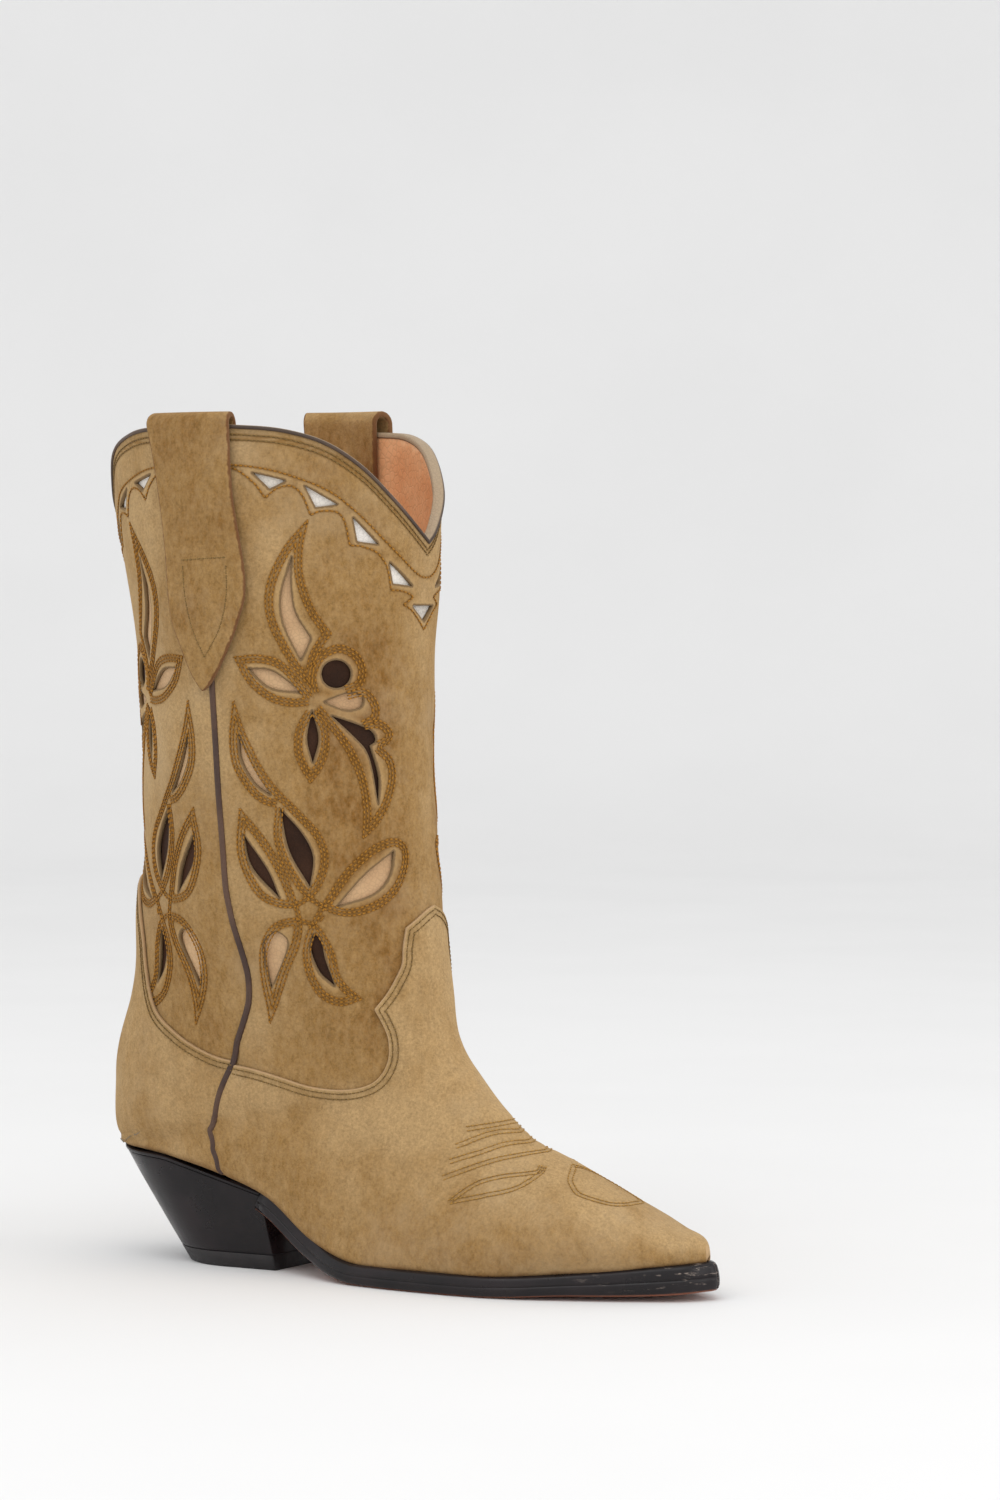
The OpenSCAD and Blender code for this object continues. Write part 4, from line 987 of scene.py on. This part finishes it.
panel_rows = {}
for _back in (False, True):
    gold = [path_3d(full_line(line, _back), 0.0) for line in (UPPER_LINE, SCALLOPS)]
    tripled = {inner: triple(TRIPLE_ROWS, (inner, _back)) for inner in (False, True)}
    rim_rows = []
    for drop in RIM_ROWS:
        a = np.linspace(-88, 88, 361) + (180 if _back else 0)
        rim_rows.append(path_3d(np.stack([a, topline(np.where(a > 180, a - 360, a)) - drop], -1), 0.0))
    panel_rows[_back] = (gold, tripled, rim_rows)


def points_of(paths):
    return np.vstack([resample(p, 0.5) for p, _ in paths])


# ---- Leather panels ----
PANEL_GRID = 1.25
INLAY_GRID = 1.8
VAMP_GRID = 1.9
COUNTER_GRID = 1.3
LINING_GRID = 3.0
INLAY_T = 0.7
HEEL_LINING_T = 1.0
HEEL_LINING_DROP = 12
PANEL_FOOT = 6.2


def window_loops(windows, quarter):
    loops = []
    for window in windows:
        line = placed(corners(*window)[:-1], *quarter)
        loops.append(np.stack([line[:, 0], t_at(line[:, 1])], -1))
    return loops


def front_tone(a, t):
    """How golden the front panel is: darkest in mid-panel, pale by the seam and near the front edge."""
    z = height_at(t)
    across = np.exp(-(((np.abs(a) - 34) / 26) ** 2))
    return 0.25 + 0.55 * across * smooth01((z - 60) / 40) * (1 - 0.55 * smooth01((z - 215) / 60))


def back_tone(a, t):
    z = height_at(t)
    return 0.2 + 0.22 * smooth01((200 - z) / 60)


def panel_border(back):
    seam = seam_between(SHAFT_H - 0.2, PANEL_FOOT)
    top = np.linspace(seam[0, 0], 180 if back else 0, 90)
    edge = COUNTER_EDGE if back else VAMP_EDGE
    low = edge[np.argsort(edge[:, 0])] if back else edge[::-1]
    low_t = t_at(low[:, 1] - LAP)
    if not back:
        low = low - np.stack([6 * np.sin(np.radians(low[:, 0] * 180 / 86)), np.zeros(len(low))], -1)
    seam = seam[seam[:, 1] < low_t[0]]
    mouth = np.stack([top[::-1], t_at(topline(top[::-1]))], -1)
    half = np.vstack([mouth[:-1], seam, np.stack([low[:, 0], low_t], -1)[1:]])
    return np.vstack([half, other_side(half[::-1], back)[1:-1]])


def seam_lines(back, t_end=T_FOOT):
    line = seam_between(SHAFT_H, t_end)
    return [line, other_side(line, back)]


def shaft_panel(back):
    gold, tripled, rim_rows = panel_rows[back]
    rows = points_of(gold + tripled[False] + tripled[True] + rim_rows)
    windows = []
    for inner in (False, True):
        windows += window_loops(WHITE_WINDOWS + CREAM_WINDOWS + DARK_WINDOWS, (inner, back))
    windows += window_loops([CENTRE_WINDOW], (False, back))
    folds = seam_lines(back, PANEL_FOOT)
    tone = back_tone if back else front_tone
    sheet = cut_sheet(panel_border(back), windows, 0.0, -SUEDE, PANEL_GRID, folds, rows, tone=tone)
    name = "shaft_back_panel" if back else "shaft_front_panel"
    return sheet_piece(name + "_suede", [sheet], SUEDE_PANEL, [name])


def inlay_piece(name, windows, back, material):
    sheets = []
    for inner in (False, True):
        for loop in window_loops(windows, (inner, back)):
            low, high = loop.min(0), loop.max(0)
            wide, tall = 1.6, 0.035
            border = np.array([[low[0] - wide, low[1] - tall], [high[0] + wide, low[1] - tall],
                               [high[0] + wide, high[1] + tall], [low[0] - wide, high[1] + tall]])
            sheets.append(cut_sheet(border, [], INLAY_FACE, INLAY_FACE - INLAY_T, INLAY_GRID, rings=()))
    return sheet_piece(name + "_leather", sheets, material, [name])


for _back in (False, True):
    shaft_panel(_back)
    _side = "back" if _back else "front"
    _white = WHITE_WINDOWS + [CENTRE_WINDOW]
    inlay_piece(_side + "_inlay_white", _white, _back, WHITE_LEATHER)
    inlay_piece(_side + "_inlay_cream", CREAM_WINDOWS, _back, CREAM_LEATHER)
    inlay_piece(_side + "_inlay_dark", DARK_WINDOWS, _back, DARK_LEATHER)


def even_tone(a, t):
    return np.full(np.shape(a), 0.22)


def vamp_tone(a, t):
    """Paler on the instep and the toe, browner on the sides."""
    return 0.1 + 0.35 * smooth01((np.abs(a) - 35) / 60) * smooth01((t - 6) / 2)


def low_seam():
    line = SEAM_PATH[SEAM_PATH[:, 1] > t_at(86)]
    return np.vstack([line[line[:, 1] < T_FOOT - 0.02], [[180, T_FOOT]]])


def by_section(line):
    """A line of angles and heights as angles and section numbers."""
    return np.stack([line[:, 0], t_at(line[:, 1])], -1)


def counter_top():
    """The counter cover's upper edge from the outer seam round the back to the inner one."""
    return np.vstack([COUNTER_EDGE, other_side(COUNTER_EDGE)[::-1][1:]])


def vamp_border():
    outer = low_seam()
    edge = np.vstack([[(-86, 86.5)], mirrored(VAMP_EDGE)[1:-1], [(86, 86.5)]])
    ahead = np.linspace(T_FOOT, LAST, 60)[1:]
    side = np.vstack([outer, np.stack([np.full(len(ahead), 180.0), ahead], -1)])
    return np.vstack([by_section(edge), side, side[::-1] * [-1, 1]])


def counter_border():
    outer = low_seam()
    return np.vstack([by_section(counter_top()), other_side(outer)[:-1], outer[::-1]])


COVER_ROWS = (1.5, 3.6)


def moved_row(points, normals, by):
    """A row beside a 3-D line, square to it on the leather, without the loops that corners make."""
    along = np.gradient(points, axis=0)
    side = np.cross(normals, along)
    side /= np.linalg.norm(side, axis=1, keepdims=True) + 1e-9
    moved = points + side * by
    keep = nearest(moved, points) > abs(by) * 0.93
    return moved[keep], normals[keep]


def edge_rows(edge, out):
    """Double rows of stitches below an edge."""
    line = resample_line(edge)
    return [moved_row(*path_3d(line, out), by) for by in COVER_ROWS]


def resample_line(line):
    """Points about half a millimetre apart on a line of angles and heights."""
    flat = resample(line * [MM_PER_DEGREE, 1], 0.5)
    return flat / [MM_PER_DEGREE, 1]


TOE_ARCS = [
    [(10.34, 28), (10.33, 0)],
    [(10.74, 38), (10.54, 19), (10.6, 0)],
    [(11.16, 46), (10.91, 20), (10.98, 0)],
    [(11.71, 54), (11.56, 28), (11.85, 0)],
    [(12.71, 61), (12.45, 50), (12.39, 44), (12.5, 36), (12.75, 28), (12.85, 22), (12.6, 16)],
    [(12.71, 61), (13.0, 50), (13.13, 41), (13.1, 32), (12.95, 22), (12.65, 15)],
    [(12.98, 0), (13.34, 14), (13.6, 20), (13.93, 24), (14.43, 20), (14.6, 10), (14.62, 0)],
]
TOE_GAP = 1.8


def toe_paths():
    """The stitched bug and wrinkles on the toe: double rows, on both sides of the middle."""
    paths = []
    for knots in TOE_ARCS:
        line = smooth_path([(a, t) for t, a in knots])
        for flip in (1, -1):
            points, normals = skin(line[:, 1], flip * line[:, 0], COVER_FACE)
            paths.append((points, normals))
            paths.append(moved_row(points, normals, flip * TOE_GAP))
    return paths


toe_rows = toe_paths()
vamp_rows = edge_rows(mirrored(VAMP_EDGE), COVER_FACE)
counter_rows = edge_rows(counter_top(), COVER_FACE)


def covers():
    fold = seam_between(90, T_FOOT)
    folds = [fold, other_side(fold, False)]
    rows = points_of(vamp_rows + toe_rows)
    sheet = cut_sheet(vamp_border(), [], COVER_FACE, COVER_BACK, VAMP_GRID, folds, rows, tone=vamp_tone)
    sheet_piece("vamp_suede", [sheet], SUEDE_COVER, ["vamp"])
    folds = [fold, other_side(fold)]
    rows = points_of(counter_rows)
    sheet = cut_sheet(counter_border(), [], COVER_FACE, COVER_BACK, COUNTER_GRID, folds, rows, tone=even_tone)
    sheet_piece("counter_cover_suede", [sheet], SUEDE_COVER, ["counter_cover"])


covers()


def linings():
    for back in (False, True):
        sheet = cut_sheet(panel_border(back), [], LINING_FACE, LINING_BACK, LINING_GRID, rings=())
        name = "back_lining" if back else "front_lining"
        sheet_piece(name + "_leather", [sheet], LINING_LEATHER, [name])
    side = low_seam()
    side = side[side[:, 1] < T_SEAT - 0.1]
    border = np.vstack([by_section(counter_top() - [0, HEEL_LINING_DROP]), other_side(side), side[::-1]])
    sheet = cut_sheet(border, [], LINING_BACK - GAP, LINING_BACK - HEEL_LINING_T, LINING_GRID, rings=())
    sheet_piece("heel_lining_leather", [sheet], LINING_LEATHER, ["heel_lining"])


linings()

# ---- Trims ----
# The binding's cross-section: distance out of the leather, and height over its edge
BINDING = [(0.1, -0.8), (0.55, -0.8), (0.85, -0.5), (0.9, -0.1), (0.6, 0.45), (0, 0.75), (-3.2, 0.75),
           (-3.6, 0.5), (-3.85, -0.2), (-3.85, -1.0), (-3.7, -1.4), (-3.45, -1.4), (-3.4, -1.2), (-3.4, -0.1),
           (0, -0.1), (0.05, -0.75)]


def binding_strip():
    a = np.linspace(-180, 180, 721)[:-1]
    top = topline(a)
    slope = np.gradient(top, a) / MM_PER_DEGREE
    grow = np.sqrt(1 + slope ** 2)
    rings = np.stack([skin(t_at(top + dz * grow), a, out)[0] for out, dz in BINDING], 1)
    top = np.tile([1.0 if -3.9 < out < 0.1 and dz > -1.1 else 0.0 for out, dz in BINDING], len(rings))
    tube("topline_binding_leather", rings, TRIM_LEATHER, ["topline_binding"], closed=True,
         attributes={"top": top})


binding_strip()


PIPING_END = 10.56
PIPING_HALF = 1.3
PIPING_RISE = 0.95


def side_piping(inner):
    """A half-round cord along the side seam that climbs over the edges of the vamp and counter."""
    path = SEAM_PATH[(SEAM_PATH[:, 1] < PIPING_END) & (SEAM_PATH[:, 1] > t_at(SHAFT_H - 2.5))]
    a, t = path[:, 0] * (-1 if inner else 1), path[:, 1]
    base = (COVER_FACE - 0.4) * smooth01((t - 5.6) / 0.6)
    c, n = skin(t, a, base)
    ahead = np.gradient(c, axis=0)
    ahead /= np.linalg.norm(ahead, axis=1, keepdims=True)
    across = np.cross(n, ahead)
    n = np.cross(ahead, across)
    rings = []
    for q in np.linspace(0, math.pi, 9):
        rings.append(c + across * math.cos(q) * PIPING_HALF + n * (math.sin(q) * PIPING_RISE - 0.1))
    rings.append(c - n * 0.5)
    node = "side_piping_" + side_name(inner)
    tube(node + "_leather", np.stack(rings, 1), PIPING_LEATHER, [node])


side_piping(False)
side_piping(True)

# ---- Pull straps ----
STRAP_T = 2.3
STRAP_TONE = 0.6
STRAP_OUT = 1.5
STRAP_IN = LINING_BACK - 1.0
STRAP_LOOPS = (5.5, 9.0)
# Edges of the strap, as height and angle, from its point upwards
STRAP_LEFT = smooth_path([(226, 90), (229, 92.3), (234, 95), (242, 98), (258, 102), (294, 102), (326, 106),
                          (340, 107)])
STRAP_RIGHT = smooth_path([(226, 90), (229, 87), (238, 82), (253, 76), (268, 73), (300, 76), (330, 77),
                           (340, 77)])


def strap_line(loop):
    """The strap's middle line: height, distance out, and the two parts of its outward direction."""
    high, low = STRAP_OUT + STRAP_T / 2, STRAP_IN - STRAP_T / 2
    radius = (high - low) / 2
    centre = SHAFT_H + loop - STRAP_T / 2 - radius
    up = [(z, high, 0.0, 1.0) for z in np.linspace(226.3, centre, 78)[:-1]]
    bend = [(centre + radius * math.sin(q), (high + low) / 2 + radius * math.cos(q), math.sin(q), math.cos(q))
            for q in np.linspace(0, math.pi, 21)]
    down = [(z, low, 0.0, -1.0) for z in np.linspace(centre, 279, 34)[1:]]
    return np.array(up + bend + down), len(up) + len(bend) // 2


def strap_sides(line, middle):
    """Angles of the strap's two edges along it, the same inside the boot as at the top of the loop."""
    left = np.interp(line[:, 0], STRAP_LEFT[:, 0], STRAP_LEFT[:, 1])
    right = np.interp(line[:, 0], STRAP_RIGHT[:, 0], STRAP_RIGHT[:, 1])
    left[middle:], right[middle:] = left[middle], right[middle]
    return left, right


def strap_point(line, middle, u, h, inner):
    """Points along the strap at a share u of its half-width and a distance h from its middle line."""
    z = line[:, 0] + line[:, 2] * h
    out = line[:, 1] + line[:, 3] * h
    left, right = strap_sides(line, middle)
    a = (left + right) / 2 - u * (left - right) / 2
    return skin(t_at(z), -a if inner else a, out)


def pull_strap(inner):
    line, middle = strap_line(STRAP_LOOPS[inner])
    us = np.concatenate([[-1, -0.985, -0.96, -0.92], np.linspace(-0.85, 0.85, 15), [0.92, 0.96, 0.985, 1]])
    left, right = strap_sides(line, middle)
    half = (left - right) / 2 * 1.25
    rings, cuts = [], []
    for face in (1, -1):
        for u in us[::face]:
            edge = half * (1 - abs(u))
            drop = rounded(edge, 0.7)
            rings.append(strap_point(line, middle, u, face * (STRAP_T / 2 - drop), inner)[0])
            cuts.append(edge)
    cut = np.stack(cuts, 1).ravel()
    count = len(cut) + 2
    marks = {"cut": np.append(cut, [0, 0]), "tone": np.full(count, STRAP_TONE), "row": np.full(count, FAR),
             "sole": np.full(count, 90.0)}
    node = "pull_strap_" + side_name(inner)
    tube(node + "_suede", np.stack(rings, 1), SUEDE_STRAP, [node], attributes=marks)


for _inner in (False, True):
    pull_strap(_inner)

# ---- The sole ----
EDGE = [(0, -6, -0.2), (0, -0.5, -1.0), (0.5, 0, -0.95), (0.8, 0, -0.6), (0.95, 0.1, 0.3), (1, 0.35, 1.9),
        (1, 0.45, 2.98)]
UNDER_EDGE = [(0, -6, 3.02), (1, 0.45, 3.02), (1, 0.45, 4.0), (1, 0.3, 5.2), (1, -0.2, 6.2),
              (0.9, -0.7, 6.75), (0.8, -1.6, 7.0), (0, -6, 7.0), (0, -40, 7.0)]
T_WELT = T_BREAST + 0.02


def sole_piece(name, profile, node):
    rings = sole_rings(profile, T_WELT)
    flat = rings.reshape(-1, 3)
    drops = np.tile([p[2] for p in profile] + [p[2] for p in profile[::-1]], len(rings))
    tan = smooth01((drops - 6.2) / 0.5)
    toe = smooth01((flat[:, 0] - 215) / 40) * (0.35 + 0.65 * smooth01((3.5 - np.abs(drops - 1.5)) / 3))
    marks = {"tan": np.append(tan, [1, 1]), "scuff": np.append(toe, [0, 0])}
    tube(name, rings, BLACK_EDGE, [node], attributes=marks)


sole_piece("welt_edge", EDGE + [(0, -6, 2.98)], "welt")
sole_piece("outsole_leather", UNDER_EDGE, "outsole")

SEAT_H = 42.0
LIFT_T = 6.0
LIFT_SHARE = LIFT_T / SEAT_H
RAND_T = 1.4
HEEL_FOOT_HALF = 23
HEEL_SPREAD = 6
HEEL_FOOT_BACK = 33
HEEL_UNDERCUT = 30
HEEL_FOOT_FRONT = 84
HEEL_BREAST_LEAN = 3
HEEL_ROUND = 1.15
# Depth under the feather line and growth of each ring of the rand
RAND_RINGS = ((RAND_T, 0.1), (RAND_T * 0.8, 0.6), (RAND_T * 0.4, 0.7), (GAP, 0.3))


def heel_ring(f, z_of, grow=0.0, arc=40):
    """The heel's outline at a share of its height: rounded behind, flat at the breast."""
    half = HEEL_FOOT_HALF + HEEL_SPREAD * f ** 0.8 + grow
    back = HEEL_FOOT_BACK - HEEL_UNDERCUT * f - grow
    front = HEEL_FOOT_FRONT - HEEL_BREAST_LEAN * f
    centre = back + half * HEEL_ROUND
    g = np.radians(np.linspace(-90, 90, arc + 1))
    corner = np.array([front, front, front - 0.6])
    reach = half * np.array([0.5, 0.9, 0.94])
    x = np.concatenate([corner, centre - half * HEEL_ROUND * np.cos(g), corner[::-1]])
    y = np.concatenate([-reach, half * np.sin(g), reach[::-1]])
    return np.stack([x, y, z_of(x)], -1)


def heel_seat(x):
    return seat_line(x) - RAND_T - GAP


def heel_pieces():
    levels = np.concatenate([[0, 0.012], np.linspace(0.04, 0.97, 24), [0.99, 1]])
    rings = []
    for f in levels:
        shrink = -0.3 if f in (0, 1) else 0.0
        rings.append(heel_ring(LIFT_SHARE + (1 - LIFT_SHARE) * f,
                               lambda x: (1 - f) * (LIFT_T + GAP) + f * heel_seat(x), shrink))
    tube("heel_block_leather", np.array(rings), HEEL_BLACK, ["heel_block"])
    rings = [heel_ring(z / SEAT_H, lambda x, z=z: np.full(len(x), z), grow)
             for z, grow in ((0, -0.5), (0.5, 0.0), (LIFT_T - 0.3, 0.05), (LIFT_T, -0.2))]
    tube("top_lift_rubber", np.array(rings), LIFT_RUBBER, ["top_lift"])
    rings = [heel_ring(1, lambda x, d=d: seat_line(x) - d, grow) for d, grow in RAND_RINGS]
    tube("heel_rand_leather", np.array(rings), HEEL_BLACK, ["heel_rand"])


heel_pieces()

# ---- Thread ----
PANEL_PITCH = 1.9
COVER_PITCH = 1.7
GOLD_RADIUS = 0.3
RIM_RADIUS = 0.24
COVER_RADIUS = 0.26
TOE_RADIUS = 0.2
STRAP_RADIUS = 0.3
PANEL_LIFT = 0.08
LEAF_LIFT = 0.05
TOE_LIFT = 0.02
# The shield stitched on the outer half of each pull strap: its top, and its two sides down to a point
STRAP_SHIELD = [
    [(95, 276), (79, 277)],
    [(94.5, 274), (94.3, 262), (92.3, 250), (88.3, 239)],
    [(79, 274), (79.5, 262), (82.5, 250), (88.3, 239)],
]


def lifted(paths, by):
    """Paths raised off the leather."""
    return [(points + normals * by, normals) for points, normals in paths]


def stitch_pieces():
    for back in (False, True):
        gold, tripled, rim_rows = panel_rows[back]
        side = "back" if back else "front"
        gold_look = (PANEL_PITCH, GOLD_RADIUS, GOLD_THREAD, "suede")
        stitches(f"{side}_border_stitches", lifted(gold, PANEL_LIFT), *gold_look, seed=11)
        for inner in (False, True):
            name = f"{side}_{side_name(inner)}_leaf_stitches"
            stitches(name, lifted(tripled[inner], LEAF_LIFT), *gold_look, seed=21 + inner)
        rim_look = (PANEL_PITCH, RIM_RADIUS, OLIVE_THREAD, "suede")
        stitches(f"{side}_topline_stitches", lifted(rim_rows, PANEL_LIFT), *rim_look, seed=31)
    cover_look = (COVER_PITCH, COVER_RADIUS, OLIVE_THREAD, "suede")
    stitches("vamp_stitches", vamp_rows, *cover_look, seed=41)
    stitches("counter_stitches", counter_rows, *cover_look, seed=42)
    toe_look = (COVER_PITCH, TOE_RADIUS, PALE_GOLD_THREAD, "suede")
    stitches("toe_stitches", lifted(toe_rows, TOE_LIFT), *toe_look, seed=43)
    strap_look = (COVER_PITCH, STRAP_RADIUS, OLIVE_THREAD, "suede")
    for inner in (False, True):
        lines = [placed(smooth_path(line), inner, False) for line in STRAP_SHIELD]
        paths = [path_3d(line, STRAP_OUT + STRAP_T) for line in lines]
        stitches(f"strap_{side_name(inner)}_stitches", paths, *strap_look, seed=51 + inner)


stitch_pieces()

# ---- Nodes that stay as they are in the CAD ----
NODE_LOOKS = {
    "toe_box": STIFFENER,
    "heel_counter": STIFFENER,
    "insole": BOARD,
    "cork_filler": CORK,
    "shank_spring": STEEL,
    "heel_nails": STEEL,
    "heel_screw": STEEL,
    "shank_pegs": PEG_WOOD,
    "vamp_lining": LINING_LEATHER,
    "sock_liner": LINING_LEATHER,
}
for _name, _look in NODE_LOOKS.items():
    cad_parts[_name].data.materials.clear()
    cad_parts[_name].data.materials.append(_look)

# ---- The studio ----
def studio_floor():
    look = Look("studio_paper", roughness=0.9, specular=0.2)
    look.colour(look.mix(look.remap(look.noise(3), 0.3, 0.7), (0.84, 0.84, 0.84, 1), (0.86, 0.86, 0.86, 1)))
    steps = [(-3.2, 0.0), (2.6, 0.0)]
    steps += [(2.6 + 1.0 * math.sin(q), 1.0 - 1.0 * math.cos(q)) for q in np.linspace(0.1, math.pi / 2, 12)]
    steps += [(3.6, 5.0)]
    turn = math.radians(CAMERA_TURN)
    verts = []
    for along, up in steps:
        for across in (-4.0, 4.0):
            verts.append((-math.sin(turn) * along + math.cos(turn) * across,
                          math.cos(turn) * along + math.sin(turn) * across, up))
    faces = [(2 * i, 2 * i + 1, 2 * i + 3, 2 * i + 2) for i in range(len(steps) - 1)]
    mesh = bpy.data.meshes.new("studio_floor")
    mesh.from_pydata(verts, [], faces)
    mesh.polygons.foreach_set("use_smooth", np.ones(len(faces), bool))
    mesh.update()
    floor = bpy.data.objects.new("studio_floor", mesh)
    bpy.context.scene.collection.objects.link(floor)
    floor.data.materials.append(look.material)


CAMERA_TURN = 32.0
CAMERA_PITCH = 2.0
CAMERA_PLACE = Vector((0.9634, -1.4782, 0.2645))
LENS = 109.9
SENSOR = 36
AIR_STRENGTH = 0.9
KEY_WATTS = 14
SIDE_WATTS = 8


def area_light(name, place_at, target, size, watts):
    lamp = bpy.data.lights.new(name, "AREA")
    lamp.shape = "RECTANGLE"
    lamp.size, lamp.size_y = size
    lamp.energy = watts
    thing = bpy.data.objects.new(name, lamp)
    bpy.context.scene.collection.objects.link(thing)
    thing.location = place_at
    thing.rotation_euler = (Vector(target) - Vector(place_at)).to_track_quat("-Z", "Y").to_euler()


def studio():
    studio_floor()
    scene = bpy.context.scene
    scene.view_settings.view_transform = "Standard"
    world = bpy.data.worlds.new("studio_air")
    world.use_nodes = True
    world.node_tree.nodes["Background"].inputs["Color"].default_value = (1, 1, 1, 1)
    world.node_tree.nodes["Background"].inputs["Strength"].default_value = AIR_STRENGTH
    scene.world = world
    area_light("key", (0.3, -0.9, 2.2), (0, 0, 0.15), (2.2, 1.6), KEY_WATTS)
    area_light("side", (1.9, 0.2, 0.9), (0, 0, 0.2), (1.2, 1.6), SIDE_WATTS)
    lens = bpy.data.cameras.new("camera")
    lens.lens = LENS
    lens.sensor_width = SENSOR
    lens.sensor_fit = "AUTO"
    camera = bpy.data.objects.new("camera", lens)
    scene.collection.objects.link(camera)
    camera.location = CAMERA_PLACE
    turn, pitch = math.radians(CAMERA_TURN), math.radians(CAMERA_PITCH)
    ahead = Vector((-math.sin(turn) * math.cos(pitch), math.cos(turn) * math.cos(pitch), -math.sin(pitch)))
    camera.rotation_euler = ahead.to_track_quat("-Z", "Y").to_euler()
    scene.camera = camera


studio()
